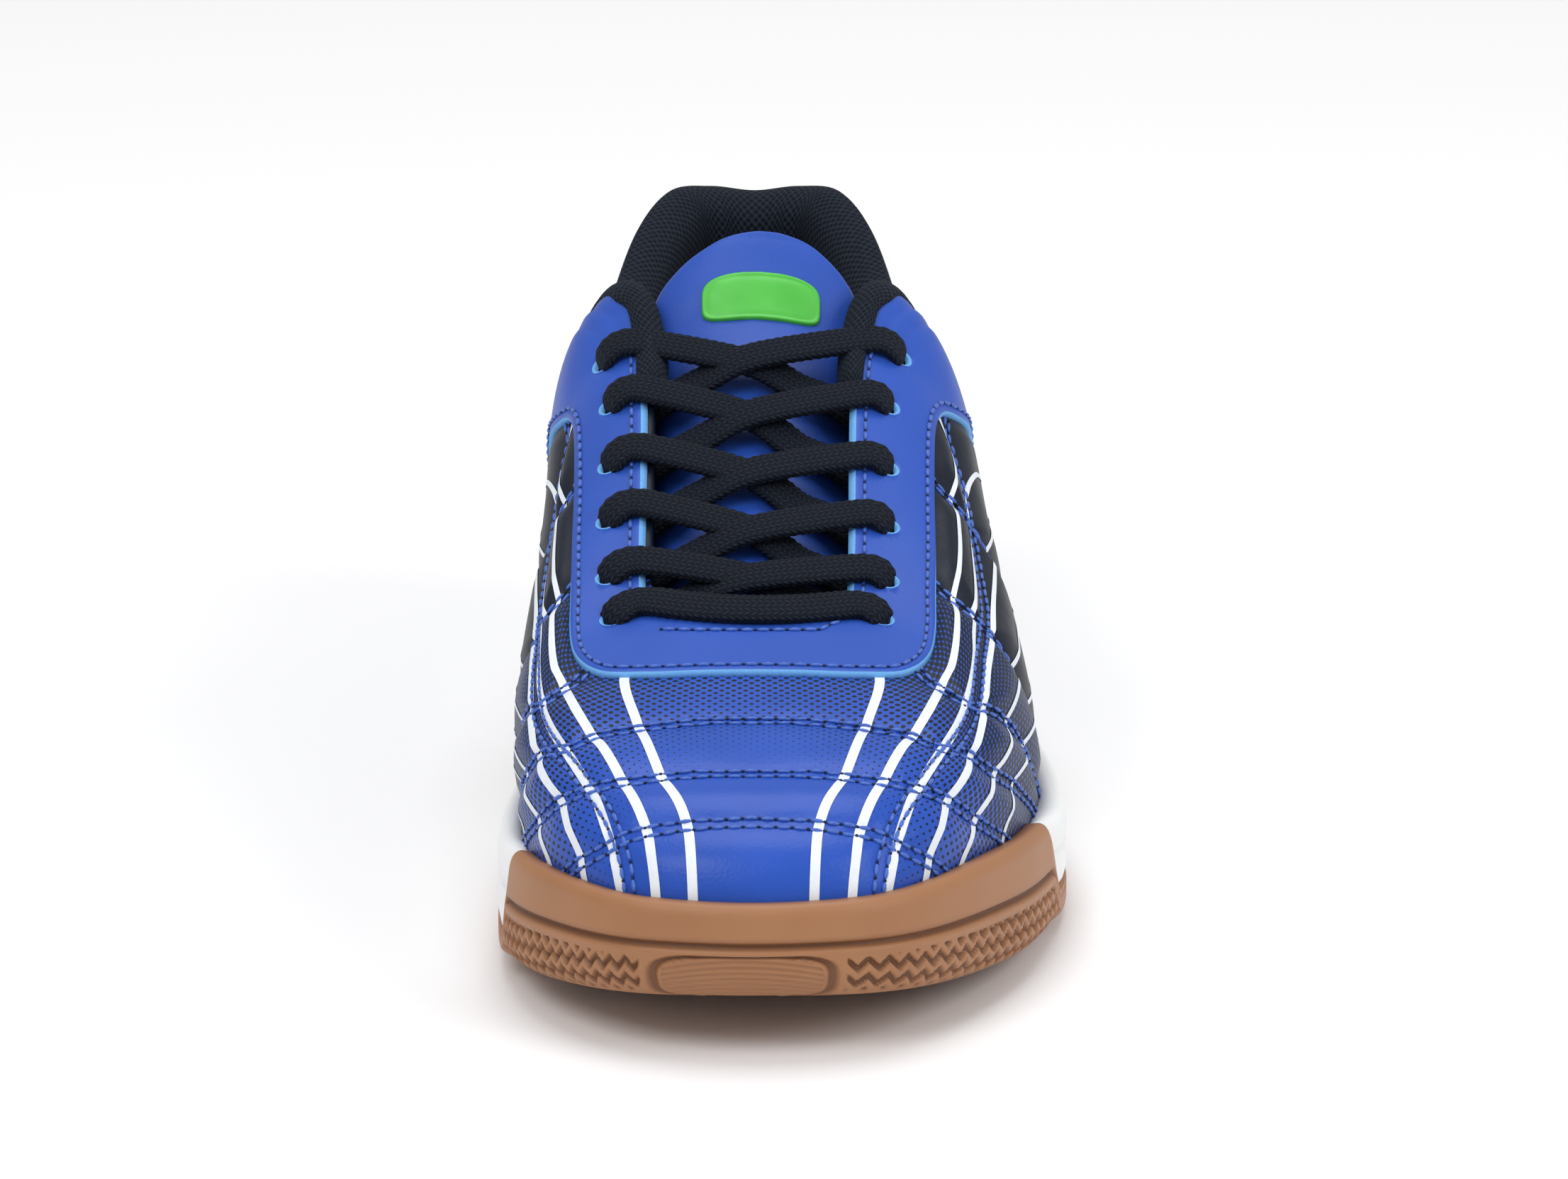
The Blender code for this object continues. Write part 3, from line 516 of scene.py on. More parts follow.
def punchEyelets(bm, lift, radius):  # round holes, with the cut edge drawn to a circle
    rings, distance = eyelets[:, 0], eyelets[:, 1:]
    centres = skin(rings, distance, lift)[:, 0] * mm
    outs = skinNormals(rings, distance)[:, 0]
    for centre, out in zip(centres, outs):
        centre, out = Vector(centre), Vector(out)
        inside = [vert for vert in bm.verts if (vert.co - centre).length < radius * mm]
        rim = {vert for gone in inside for face in gone.link_faces for vert in face.verts} - set(inside)
        for vert in rim:
            offset = vert.co - centre
            height = offset.dot(out)
            vert.co = centre + (offset - out * height).normalized() * radius * mm + out * height
        bmesh.ops.delete(bm, geom=inside, context="VERTS")


# Seams of the quilting and lines of the print, the same on both sides.
# ring is counted from the toe, share runs from the overlay's edge to the foot of the upper.
quilt = {
    "ringStep": 1.0 / 16.0, "rows": 73, "wall": 2.0, "holeRadius": 2.2,
    "pillow": ((0.0, 0.8), (2.5, 1.0), (5.0, 2.0), (9.0, 2.1), (11.5, 1.2), (17.0, 0.8)),  # ring, height
    "pillowReach": 8.5, "pillowSink": 0.8, "rowSpacing": 2.1, "rowDip": 0.25,
    "overlayClear": 0.5, "overlayFade": 5.0, "rimClear": 0.3, "rimFade": 6.0,
    "lineSamples": 24, "seamStep": 0.5, "borderSamples": 60, "castReach": 6.0,
    "seams": {
        "toeBend": ((0.0, 0.235), (0.75, 0.24), (1.75, 0.28), (2.5, 0.33), (3.1, 0.42), (3.75, 0.51),
                    (4.6, 0.67), (5.5, 0.8), (6.4, 1.0)),
        "toeMiddle": ((0.0, 0.5), (0.75, 0.505), (1.5, 0.53), (2.5, 0.575), (3.25, 0.65), (4.1, 0.78),
                      (4.9, 0.9), (5.4, 1.0)),
        "toeFront": ((0.0, 0.69), (0.75, 0.7), (1.8, 0.735), (2.4, 0.78), (3.2, 0.86), (3.9, 1.0)),
        "vampSide": ((2.0, 1.0), (2.0, 0.9), (2.1, 0.8), (2.3, 0.68), (2.7, 0.57), (3.2, 0.47), (4.1, 0.39),
                     (5.1, 0.31), (6.4, 0.29), (7.5, 0.24), (8.4, 0.18), (9.1, 0.02)),
        "frontPanel": ((3.2, -0.05), (3.5, 0.13), (4.1, 0.33), (5.2, 0.55), (5.8, 0.68), (7.0, 1.0)),
        "middlePanel": ((5.15, -0.05), (5.55, 0.18), (5.9, 0.33), (6.6, 0.6), (7.7, 1.0)),
        "rearPanel": ((7.25, -0.05), (7.6, 0.15), (8.0, 0.35), (8.7, 0.65), (9.6, 1.0)),
        "counter": ((12.2, -0.05), (11.6, 0.3), (11.4, 0.65), (11.8, 1.0)),
    },
    "backSeam": ((17.0, -0.05), (17.0, 1.0)),
}
printed = {
    "toeWidth": 1.85, "sideWidth": 1.05, "toeUntil": 3.0, "sideFrom": 5.2, "lift": 0.12, "step": 0.8,
    "columns": 5, "tones": ("#DDE4EE", "#EEF2F6"), "cloudSize": 1.2, "cloudDetail": 3.0,
    "lines": (
        ((0.88, 1.0), (0.88, 0.78), (0.98, 0.66), (1.3, 0.52), (1.75, 0.28), (2.4, 0.02), (2.5, -0.08)),
        ((1.5, 1.0), (1.5, 0.85), (1.6, 0.7), (1.95, 0.54), (2.5, 0.35), (3.45, 0.155), (4.1, 0.14),
         (4.8, 0.13), (5.5, 0.11), (6.6, 0.12), (7.4, 0.11), (8.4, 0.1), (8.8, 0.02), (9.0, -0.08)),
        ((2.15, 1.0), (2.22, 0.88), (2.42, 0.69), (2.65, 0.575), (3.2, 0.43), (4.05, 0.31), (4.9, 0.265),
         (5.4, 0.225), (6.9, 0.21), (8.0, 0.21), (9.2, 0.2), (10.4, 0.18), (11.75, 0.16)),
        ((2.95, 1.0), (3.02, 0.86), (3.3, 0.69), (3.8, 0.575), (4.4, 0.46), (5.1, 0.37), (6.2, 0.34),
         (8.0, 0.34), (10.0, 0.33), (11.55, 0.32)),
        ((3.6, 1.0), (3.72, 0.89), (4.05, 0.79), (4.4, 0.71), (4.9, 0.65), (5.6, 0.53), (6.5, 0.5),
         (8.0, 0.5), (10.0, 0.5), (11.45, 0.5)),
        ((4.5, 1.0), (4.75, 0.87), (5.2, 0.76), (5.7, 0.7), (6.4, 0.66), (8.0, 0.66), (10.0, 0.67),
         (11.4, 0.68)),
    ),
}


def traceLine(rows, side, step):  # points on the plain face, the face's directions and the ring there
    rough = smoothRows(rows, quilt["lineSamples"] * len(rows))
    ring = rough[:, 0] if side < 0 else ringSize - rough[:, 0]
    band = bandWidth(ring)
    distance = (band + rough[:, 1] * (ribLengths(ribCurves(ring))[:, -1] - band))[:, None]
    points, normals = facePoints(ring, distance)[:, 0], skinNormals(ring, distance)[:, 0]
    line = evenly(np.concatenate([points, normals, rough[:, :1]], axis=1), step)
    return line[:, :3], line[:, 3:6], line[:, 6]


seamLines = [traceLine(rows, side, quilt["seamStep"])[:2]
             for rows in quilt["seams"].values() for side in (-1, 1)]
seamLines.append(traceLine(quilt["backSeam"], -1, quilt["seamStep"])[:2])

# Upper: printed and quilted outside, knitted lining inside
printLook = {
    "blue": "#2C56BE", "deepBlue": "#204AA8", "navy": "#0B1626", "dotPitch": 1.5, "dotEdge": 10.0,
    "toe": (axisX, -150.0, 0.0), "sideWeight": 1.45, "unrollAt": (21.0, 60.0),
    "dots": ((28.0, 118.0, -0.04, 0.74), (88.0, 130.0, 0.49, 0.55)),  # reach from, to, dot radius from, to
    "solidBehind": "middlePanel", "solidBlend": 0.12,
    "grainSize": 0.7, "grainDepth": 0.03, "waveSize": 16.0, "waveDepth": 0.35,
}
# the knit's two tones are painted shade in its pits and painted light on its ridges
knitLook = {
    "hollowShade": "#0A0E15", "ridgeLight": "#222B38", "pitch": 1.25, "randomness": 0.15, "pit": (0.15, 0.6),
    "depth": 0.35, "strength": 0.8,
}


def printedPolyurethane():
    # polyurethane coated cloth, embossed and screen printed: satin gloss over blue, dots that close to navy.
    # The dots of the real print are nearer 1 mm apart: drawn coarser, so that they show in the render
    look = printLook
    material, tree, shader = startMaterial("printedPolyurethane", {"IOR": 1.5, "Specular IOR Level": 0.25})
    place = addNode(tree, "ShaderNodeTexCoord").outputs["Object"]
    fromToe = addNode(tree, "ShaderNodeVectorMath", {"operation": "SUBTRACT", 1: Vector(look["toe"]) * mm},
                      {0: place})
    weighted = addNode(tree, "ShaderNodeVectorMath", {
        "operation": "MULTIPLY", 1: (look["sideWeight"], 1.0, 0.0),
    }, {0: fromToe})
    reach = addNode(tree, "ShaderNodeVectorMath", {"operation": "LENGTH"}, {0: weighted})
    toeDots, sideDots = (addNode(tree, "ShaderNodeMapRange", {
        "From Min": start * mm, "From Max": end * mm, "To Min": small, "To Max": large,
    }, {"Value": reach}) for start, end, small, large in look["dots"])
    size = addNode(tree, "ShaderNodeMath", {"operation": "MINIMUM"}, {0: toeDots, 1: sideDots})
    solid = addNode(tree, "ShaderNodeAttribute", {"attribute_name": "level"}).outputs["Fac"]
    closed = addNode(tree, "ShaderNodeMath", {"operation": "ADD"}, {0: size, 1: solid})
    spare = addNode(tree, "ShaderNodeMath", {"operation": "SUBTRACT"},
                    {0: closed, 1: slantedCells(tree, look["dotPitch"], 0.0)})
    ink = addNode(tree, "ShaderNodeMath", {
        "operation": "MULTIPLY_ADD", "use_clamp": True, 1: look["dotEdge"], 2: 0.5,
    }, {0: spare})
    wave = addNode(tree, "ShaderNodeTexNoise", {"Scale": 1.0 / (look["waveSize"] * mm), "Detail": 2.0},
                   {"Vector": place})
    base = addNode(tree, "ShaderNodeMix", {
        "data_type": "RGBA", 6: hexColour(look["blue"]), 7: hexColour(look["deepBlue"]),
    }, {0: wave})
    colour = addNode(tree, "ShaderNodeMix", {"data_type": "RGBA", 7: hexColour(look["navy"])},
                     {0: ink, 6: base})
    rough = addNode(tree, "ShaderNodeMapRange", {"To Min": 0.34, "To Max": 0.44}, {"Value": ink})
    grain = addNode(tree, "ShaderNodeTexVoronoi", {"Scale": 1.0 / (look["grainSize"] * mm)},
                    {"Vector": place})
    fine = addNode(tree, "ShaderNodeBump", {"Strength": 1.0, "Distance": look["grainDepth"] * mm},
                   {"Height": grain})
    broad = addNode(tree, "ShaderNodeBump", {"Strength": 1.0, "Distance": look["waveDepth"] * mm},
                    {"Height": wave, "Normal": fine})
    linkNode(tree, shader, {"Base Color": colour, "Roughness": rough, "Normal": broad})
    return material


def spacerKnit():
    # warp knitted spacer mesh: rows of small pits, no gloss, a faint bloom of loose fibre
    material, tree, shader = startMaterial("spacerKnit", {
        "Roughness": 0.85, "Specular IOR Level": 0.12, "Sheen Weight": 0.02,
    })
    low, high = knitLook["pit"]
    height = addNode(tree, "ShaderNodeMapRange", {"From Min": low, "From Max": high},
                     {"Value": slantedCells(tree, knitLook["pitch"], knitLook["randomness"])})
    # painted shade in the pits, painted light on the cell walls
    shadeByRelief(tree, shader, knitLook, height)
    return material


knit = spacerKnit()


def unroll(ring, distance):  # the print is laid flat: ribs side by side at the spacing they have on the shoe
    start, end = printLook["unrollAt"]
    edges = [facePoints(ring, np.full((len(ring), 1), place))[:, 0] for place in (start, end)]
    near, far = (np.linalg.norm(np.diff(edge, axis=0), axis=1) for edge in edges)
    turn = np.concatenate([[0.0], np.cumsum((far - near) / (end - start))])
    middle = (turn[1:] + turn[:-1]) / 2.0
    walk = np.stack([np.cos(middle), np.sin(middle)], axis=1) * near[:, None]
    foot = np.concatenate([[[0.0, 0.0]], np.cumsum(walk, axis=0)])
    down = np.stack([np.sin(turn), -np.cos(turn)], axis=1)
    return foot[:, None] + (distance - start)[..., None] * down[:, None]


def seamGaps(points):  # distance from each point to the nearest seam
    seamPoints = np.concatenate([line[0] for line in seamLines])
    seamTree = KDTree(len(seamPoints))
    for index, point in enumerate(seamPoints):
        seamTree.insert(point, index)
    seamTree.balance()
    gaps = [seamTree.find(point)[2] for point in points.reshape(-1, 3)]
    return np.array(gaps).reshape(points.shape[:2])


def makeUpper():
    ring = np.arange(0.0, ringSize + quilt["ringStep"] / 2.0, quilt["ringStep"])
    total, band = ribLengths(ribCurves(ring))[:, -1:], bandWidth(ring)[:, None]
    distance = total * np.linspace(0.0, 1.0, quilt["rows"])[None]
    points = facePoints(ring, distance)
    spacing = quilt["rowSpacing"] / 2.0
    away = seamGaps(points) - spacing
    inside = np.clip(away / quilt["pillowReach"], 0.0, 1.0)
    height = np.interp(fold(ring), *zip(*quilt["pillow"]))[:, None] * (1.0 - (1.0 - inside) ** 2)
    height -= quilt["pillowSink"] + quilt["rowDip"] * np.exp(-(away / (spacing / 2.0)) ** 2)
    height *= smoothStep((distance - band - quilt["overlayClear"]) / quilt["overlayFade"])
    overRim = points[..., 2] - ringAt(ring)[:, None, 2]
    height *= smoothStep((overRim - quilt["rimClear"]) / quilt["rimFade"])
    points = points + skinNormals(ring, distance) * height[..., None]
    border = smoothRows(quilt["seams"][printLook["solidBehind"]], quilt["borderSamples"])
    borderRing = np.interp((distance - band) / (total - band), border[:, 1], border[:, 0])
    solid = smoothStep((fold(ring)[:, None] - borderRing) / printLook["solidBlend"] + 0.5)
    half = len(ring) // 2
    flat = np.concatenate([unroll(ring[:half], distance[:half]),
                           unroll(ring[half:][::-1], distance[half:][::-1])[::-1] * (-1.0, 1.0)])
    bm = bmesh.new()
    addGrid(bm, points.transpose(1, 0, 2), flat.transpose(1, 0, 2), level=solid.T)
    closeSheet(bm)
    punchEyelets(bm, 0.0, quilt["holeRadius"])
    tree = BVHTree.FromBMesh(bm)
    piece = addPiece("quiltedUpper", bm, [printedPolyurethane(), knit], ["upper"])
    addWall(piece, quilt["wall"], outward=False, innerMaterial=1)
    return tree


upperTree = makeUpper()


def onUpper(points, normals, lift):  # where points of the plain face land on the quilted one, raised by lift
    reach = quilt["castReach"]
    landed = []
    for point, normal in zip(points, normals):
        start = Vector(point + normal * reach) * mm
        hit = upperTree.ray_cast(start, -Vector(normal), 2.0 * reach * mm)[0]
        if hit is None:
            hit = upperTree.find_nearest(Vector(point) * mm)[0]
        landed.append(np.array(hit) / mm + normal * lift)
    return np.array(landed)


# White lines of the print
# screen printed ink: a thin matt film, a little uneven
whiteInk = cloudedMaterial("screenPrintedInk", {"Roughness": 0.55}, printed)


def makePrintLines():
    bm = bmesh.new()
    shares = np.linspace(-0.5, 0.5, printed["columns"])
    spans = (printed["toeUntil"], printed["sideFrom"]), (printed["toeWidth"], printed["sideWidth"])
    for rows in printed["lines"]:
        for side in (-1, 1):
            middle, normals, ring = traceLine(rows, side, printed["step"])
            across = lineSides(middle, normals) * np.interp(ring, *spans)[:, None]
            columns = [onUpper(middle + across * share, normals, printed["lift"]) for share in shares]
            addGrid(bm, np.stack(columns, axis=1))
    faceOut(bm)
    addPiece("printedLines", bm, [whiteInk])


makePrintLines()

# Sewing: short thread arcs with the painted shadow of a needle hole between them
sewing = {
    "batch": 24, "segments": (6, 4), "length": 2.5, "pitch": 3.0, "radius": 0.44, "lift": 0.16,
    "holeRadius": 0.36, "holeDepth": 0.2, "edgeInset": 1.3, "edgeSamples": 1200,
    "throatInset": 1.5, "throatFrom": 4.3, "throatTo": 9.1, "throatSamples": 200,
    "tongueSeam": 6.2, "tongueReach": 2.5, "tongueSamples": 120,
    "curl": (1.8, 0.7, 2.6),  # ring where the outer end turns up, over how much of it, how far
}
threadLook = {"tones": ("#234AA0", "#4E79D6"), "cloudSize": 0.5, "cloudDetail": 1.0}
holeShadowLook = {"tones": ("#0E1A38", "#16264A"), "cloudSize": 0.8, "cloudDetail": 2.0}
# twisted polyester thread: silky, mottled by its fine plies
thread = cloudedMaterial("polyesterThread", {"Roughness": 0.42, "Sheen Weight": 0.1}, threadLook)
# shadow of a pierced hole: dull and nearly black
holeShadow = cloudedMaterial("needleHoleShadow", {"Roughness": 0.95}, holeShadowLook)


def sewLine(whole, points, normals):
    tangents = np.gradient(points, axis=0)
    sizes = ((sewing["radius"], sewing["radius"], sewing["length"] / 2.0),
             (sewing["holeRadius"], sewing["holeDepth"], sewing["holeRadius"]))
    across, along = sewing["segments"]
    for start in range(0, len(points), sewing["batch"]):  # small, because an operator visits a whole bmesh
        bm = bmesh.new()
        for index in range(start, min(start + sewing["batch"], len(points))):
            tangent, normal = Vector(tangents[index]).normalized(), Vector(normals[index])
            up = (normal - tangent * tangent.dot(normal)).normalized()
            turn = Matrix((tangent.cross(up), up, tangent)).transposed().to_4x4()
            kind = index % 2  # thread and painted hole shadow by turns
            size = Matrix.Diagonal((*sizes[kind], 1.0))
            place = Matrix.Translation(Vector(points[index]) * mm) @ turn @ size
            made = bmesh.ops.create_uvsphere(bm, u_segments=across, v_segments=along, radius=mm, matrix=place)
            for face in {face for vert in made["verts"] for face in vert.link_faces}:
                face.material_index = kind
        batch = bpy.data.meshes.new("batch")
        bm.to_mesh(batch)
        bm.free()
        whole.from_mesh(batch)
        bpy.data.meshes.remove(batch)


def makeQuiltSewing():
    bm = bmesh.new()
    for line in seamLines:
        stops = evenly(np.concatenate(line, axis=1), sewing["pitch"] / 2.0)
        middle, normals = stops[:, :3], stops[:, 3:]
        across = lineSides(middle, normals) * quilt["rowSpacing"]
        for side in (-0.5, 0.5):
            sewLine(bm, onUpper(middle + across * side, normals, sewing["lift"]), normals)
    addPiece("quiltSewing", bm, [thread, holeShadow])


def makeOverlaySewing():
    edge = np.linspace(0.0, ringSize, sewing["edgeSamples"])
    throat = np.linspace(sewing["throatFrom"], sewing["throatTo"], sewing["throatSamples"])
    front = np.linspace(-sewing["tongueReach"], sewing["tongueReach"], sewing["tongueSamples"])
    curlFrom, curlOver, curlRise = sewing["curl"]
    runs = [(edge, bandWidth(edge) - sewing["edgeInset"])]
    runs += [(ring, overlayStart(ring) + sewing["throatInset"]) for ring in (throat, ringSize - throat)]
    runs.append((front, sewing["tongueSeam"] - curlRise * smoothStep((-front - curlFrom) / curlOver)))
    lift = overlay["gap"] + overlay["wall"] + sewing["lift"]
    bm = bmesh.new()
    for ring, distance in runs:
        distance = distance[:, None]
        raised = skin(ring, distance, (lift - overlaySink(ring))[:, None])[:, 0]
        line = np.concatenate([raised, skinNormals(ring, distance)[:, 0]], axis=1)
        stops = evenly(line, sewing["pitch"] / 2.0)
        sewLine(bm, stops[:, :3], stops[:, 3:])
    addPiece("overlaySewing", bm, [thread, holeShadow])


makeQuiltSewing()
makeOverlaySewing()

# Overlay of smooth blue synthetic, with its cut edge showing
smoothLook = {
    "tones": ("#2E57BC", "#264DAA"), "cloudSize": 22.0, "cloudDetail": 3.0,
    "grain": "ShaderNodeTexVoronoi", "grainSize": 0.5, "grainDepth": 0.025,
}
edgeLook = {"tones": ("#4E96DE", "#7FBCF0"), "cloudSize": 0.4, "cloudDetail": 2.0}
# coated microfibre, calendered smooth: even satin gloss with a very fine pore
smoothBlue = cloudedMaterial("smoothPolyurethane", {
    "IOR": 1.5, "Roughness": 0.42, "Specular IOR Level": 0.3,
}, smoothLook)
# knife cut edge of the coated cloth: paler backing fibres, no gloss
backing = cloudedMaterial("cutBacking", {"Roughness": 0.8}, edgeLook)


def makeOverlay():
    ring = np.arange(0.0, ringSize + overlay["ringStep"] / 2.0, overlay["ringStep"])
    start, end = overlayStart(ring)[:, None], bandWidth(ring)[:, None]
    share = np.linspace(0.0, 1.0, overlay["rows"])[None]
    distance = np.concatenate([
        start - overlay["throatBevel"], start + (end - start) * share, end + overlay["bevel"],
    ], axis=1)
    place, (fadeIn, fadeOut) = fold(ring)[:, None], overlay["creaseFades"]
    shown = smoothStep((place - overlay["creaseFrom"]) / fadeIn)
    shown = shown * smoothStep((overlay["creaseTo"] - place) / fadeOut)
    lift = np.full(distance.shape, overlay["gap"])
    for crease in overlay["creases"]:
        away = (distance - start - crease) / overlay["creaseWidth"]
        lift -= overlay["creaseDepth"] * shown * np.exp(-away ** 2)
    lift -= overlaySink(ring)[:, None]
    lift[:, [0, -1]] -= overlay["bevelDrop"]
    marks = np.zeros(distance.shape, int)
    marks[:, [0, -2]] = 1  # the bevels show the paler backing
    bm = bmesh.new()
    addGrid(bm, skin(ring, distance, lift).transpose(1, 0, 2), marks=marks.T)
    closeSheet(bm)
    punchEyelets(bm, overlay["gap"], overlay["eyeletRadius"])
    piece = addPiece("throatOverlay", bm, [smoothBlue, backing], ["eyestay"])
    addWall(piece, overlay["wall"], outward=True, rimMaterial=1)


makeOverlay()

# Cut edges of the eyelets, with the paler backing showing
eyeletEdge = {
    "radii": (1.2, 1.45, 1.75, 2.0, 2.2), "lifts": (-0.9, -0.3, 0.02, 0.12, -0.15), "around": 24,
}


def makeEyeletEdges():
    bm = bmesh.new()
    angle = np.linspace(0.0, 2.0 * np.pi, eyeletEdge["around"] + 1)[:, None]
    radii, lifts = (np.array(eyeletEdge[name])[:, None, None] for name in ("radii", "lifts"))
    rings, distance = eyelets[:, 0], eyelets[:, 1:]
    centres = skin(rings, distance, overlay["gap"] + overlay["wall"])[:, 0]
    for centre, normal in zip(centres, skinNormals(rings, distance)[:, 0]):
        across = np.cross(normal, (0.0, 1.0, 0.0))
        across /= np.linalg.norm(across)
        around = across * np.cos(angle) + np.cross(normal, across) * np.sin(angle)
        addGrid(bm, centre + around[None] * radii + normal * lifts)
    closeSheet(bm)
    addPiece("eyeletEdges", bm, [backing])


makeEyeletEdges()

# Collar roll and padding
collar = {
    "first": 7.9, "ringStep": 1.0 / 12.0, "around": 68, "base": -2.4, "taper": 0.5, "endShare": 0.12,
    "measured": 4, "lobe": 0.7,
    "section": (  # distance along the rib, lift off the upper's face
        (4.5, 1.0), (3.8, 2.4), (1.8, 3.2), (-0.9, 3.3), (-3.2, 2.1), (-4.7, -0.7), (-4.8, -4.4),
        (-2.2, -8.2), (4.0, -9.8), (13.0, -8.8), (22.0, -6.0), (27.0, -3.4), (14.0, -2.5), (1.2, -2.4),
        (-0.4, -2.0), (-0.4, 0.3), (2.2, 0.45), (4.2, 0.5),
    ),
    "scales": (  # ring, height above the edge, thickness outside, padding inside
        (7.9, 0.30, 0.55, 0.10), (8.3, 0.50, 0.75, 0.22), (9.2, 0.70, 0.85, 0.45),
        (10.0, 0.85, 0.70, 0.80), (10.5, 0.90, 0.95, 0.90), (11.0, 1.0, 1.20, 1.0),
        (11.6, 1.0, 0.80, 1.0), (12.4, 1.0, 0.20, 1.0), (17.0, 1.0, 0.15, 1.1),
    ),
}


def makeCollar():
    last = ringSize - collar["first"] + collar["ringStep"] / 2.0
    ring = np.arange(collar["first"], last, collar["ringStep"])
    rings, *columns = zip(*collar["scales"])
    fade = smoothStep((fold(ring) - collar["first"]) / collar["taper"] + collar["endShare"])
    above, thick, inside = ((np.interp(fold(ring), rings, column) * fade)[:, None] for column in columns)
    section = smoothRows(collar["section"], collar["around"], closed=True)
    along, out = section.T
    outside = out > 0.0
    lobe = ((overlayStart(ring) + collar["lobe"]) / along[outside].max())[:, None]
    distance = np.where(along < 0.0, along * above, along * np.where(outside, lobe, inside))
    base = collar["base"]
    lift = np.where(outside, out * thick, np.where(out < base, base + (out - base) * inside, out))
    points = skin(ring, distance, lift)
    points[:, -1] = points[:, 0]
    bm = bmesh.new()
    addGrid(bm, points, clothGrid(runLength(points[:, collar["measured"]]), runLength(section)))
    closeMesh(bm)
    piece = addPiece("collarPadding", bm, [knit], ["collar"])


makeCollar()

# Tongue: padded, smooth outside and knitted inside
tongue = {
    "rows": (  # y, ridge height, half width, thickness, lean to the outer side
        (-62.0, 51.2, 19.0, 2.5, 0.0), (-45.0, 58.2, 20.5, 4.0, 0.0), (-20.0, 69.7, 21.0, 4.0, 0.0),
        (5.0, 80.7, 20.0, 4.4, 0.0), (17.0, 86.6, 20.0, 5.2, 0.0), (28.0, 94.6, 21.0, 5.8, 0.0),
        (33.0, 100.0, 21.4, 6.0, 0.2), (36.0, 103.2, 20.2, 6.0, 0.8), (37.8, 105.2, 17.6, 5.9, 1.4),
        (39.0, 106.5, 14.8, 5.7, 1.9), (39.9, 107.4, 11.8, 5.3, 2.4), (40.5, 108.1, 8.4, 4.8, 2.7),
        (40.8, 108.4, 4.2, 4.2, 2.9),
    ),
    "radius": 32.0, "samples": 200, "along": 120, "around": 64, "corner": 0.5, "edgeFlat": 0.75,
    "liningTop": 38.0, "liningFrom": -0.3,
}


def tonguePoint(x, y, lift):
    rows = smoothRows(tongue["rows"], tongue["samples"])
    ridge = np.interp(y, rows[:, 0], rows[:, 1])
    slope = np.interp(y, rows[:, 0], np.gradient(rows[:, 1], rows[:, 0]))
    offset = x - axisX
    normal = np.stack([offset / tongue["radius"], -slope, np.ones_like(slope)], axis=-1)
    normal /= np.linalg.norm(normal, axis=-1, keepdims=True)
    top = np.stack([x, y, ridge - offset ** 2 / (2.0 * tongue["radius"])], axis=-1)
    return top + normal * np.asarray(lift, float)[..., None]


def makeTongue():
    rows = smoothRows(tongue["rows"], tongue["along"])
    wide, deep = boxRound(tongue["around"], tongue["corner"], tongue["edgeFlat"])
    y, half, wall, lean = (rows[:, [column]] for column in (0, 2, 3, 4))
    x = axisX + lean + half * wide
    surface = np.stack([x, np.broadcast_to(y, x.shape)], axis=-1)
    points = tonguePoint(x, surface[..., 1], (deep - 1.0) * wall / 2.0)
    points[:, -1] = points[:, 0]
    marks = (deep < tongue["liningFrom"]) & (y < tongue["liningTop"])
    bm = bmesh.new()
    addGrid(bm, points, surface, marks)
    closeMesh(bm)
    piece = addPiece("paddedTongue", bm, [smoothBlue, knit], ["tongue"])


makeTongue()

# Plain patch on the tongue, with a raised border
patch = {
    "middle": (axisX + 1.5, 31.0), "half": (11.5, 4.8), "lift": 0.7, "corner": 0.5, "columns": 72,
    "run": 0.75,  # share of its height that lies along y on the sloping tongue
    "radii": (0.0, 0.3, 0.55, 0.72, 0.78, 0.82, 0.88, 0.94, 0.98, 1.0),
    "lifts": (1.0, 1.0, 0.98, 0.9, 0.78, 0.78, 1.0, 0.95, 0.6, -0.1),
    "tones": ("#3FB035", "#55C648"), "cloudSize": 6.0, "cloudDetail": 2.0,
}
# moulded thermoplastic film: bright, even and slightly glossy
film = cloudedMaterial("mouldedFilm", {"Roughness": 0.38, "IOR": 1.5}, patch)


def makeTonguePatch():
    edge = np.stack(boxRound(patch["columns"], patch["corner"], patch["corner"]), axis=-1) * patch["half"]
    short = patch["half"][0] - patch["half"][1]  # the rings keep an even border round a long shape
    core = np.stack([np.clip(edge[:, 0], -short, short), np.zeros(len(edge))], axis=-1)
    places = core + (edge - core) * np.array(patch["radii"])[:, None, None]
    x = patch["middle"][0] + places[..., 0]
    y = patch["middle"][1] + places[..., 1] * patch["run"]
    lift = np.broadcast_to(np.array(patch["lifts"])[:, None] * patch["lift"], x.shape)
    bm = bmesh.new()
    addGrid(bm, tonguePoint(x, y, lift))
    closeSheet(bm)
    addPiece("tonguePatch", bm, [film])


makeTonguePatch()

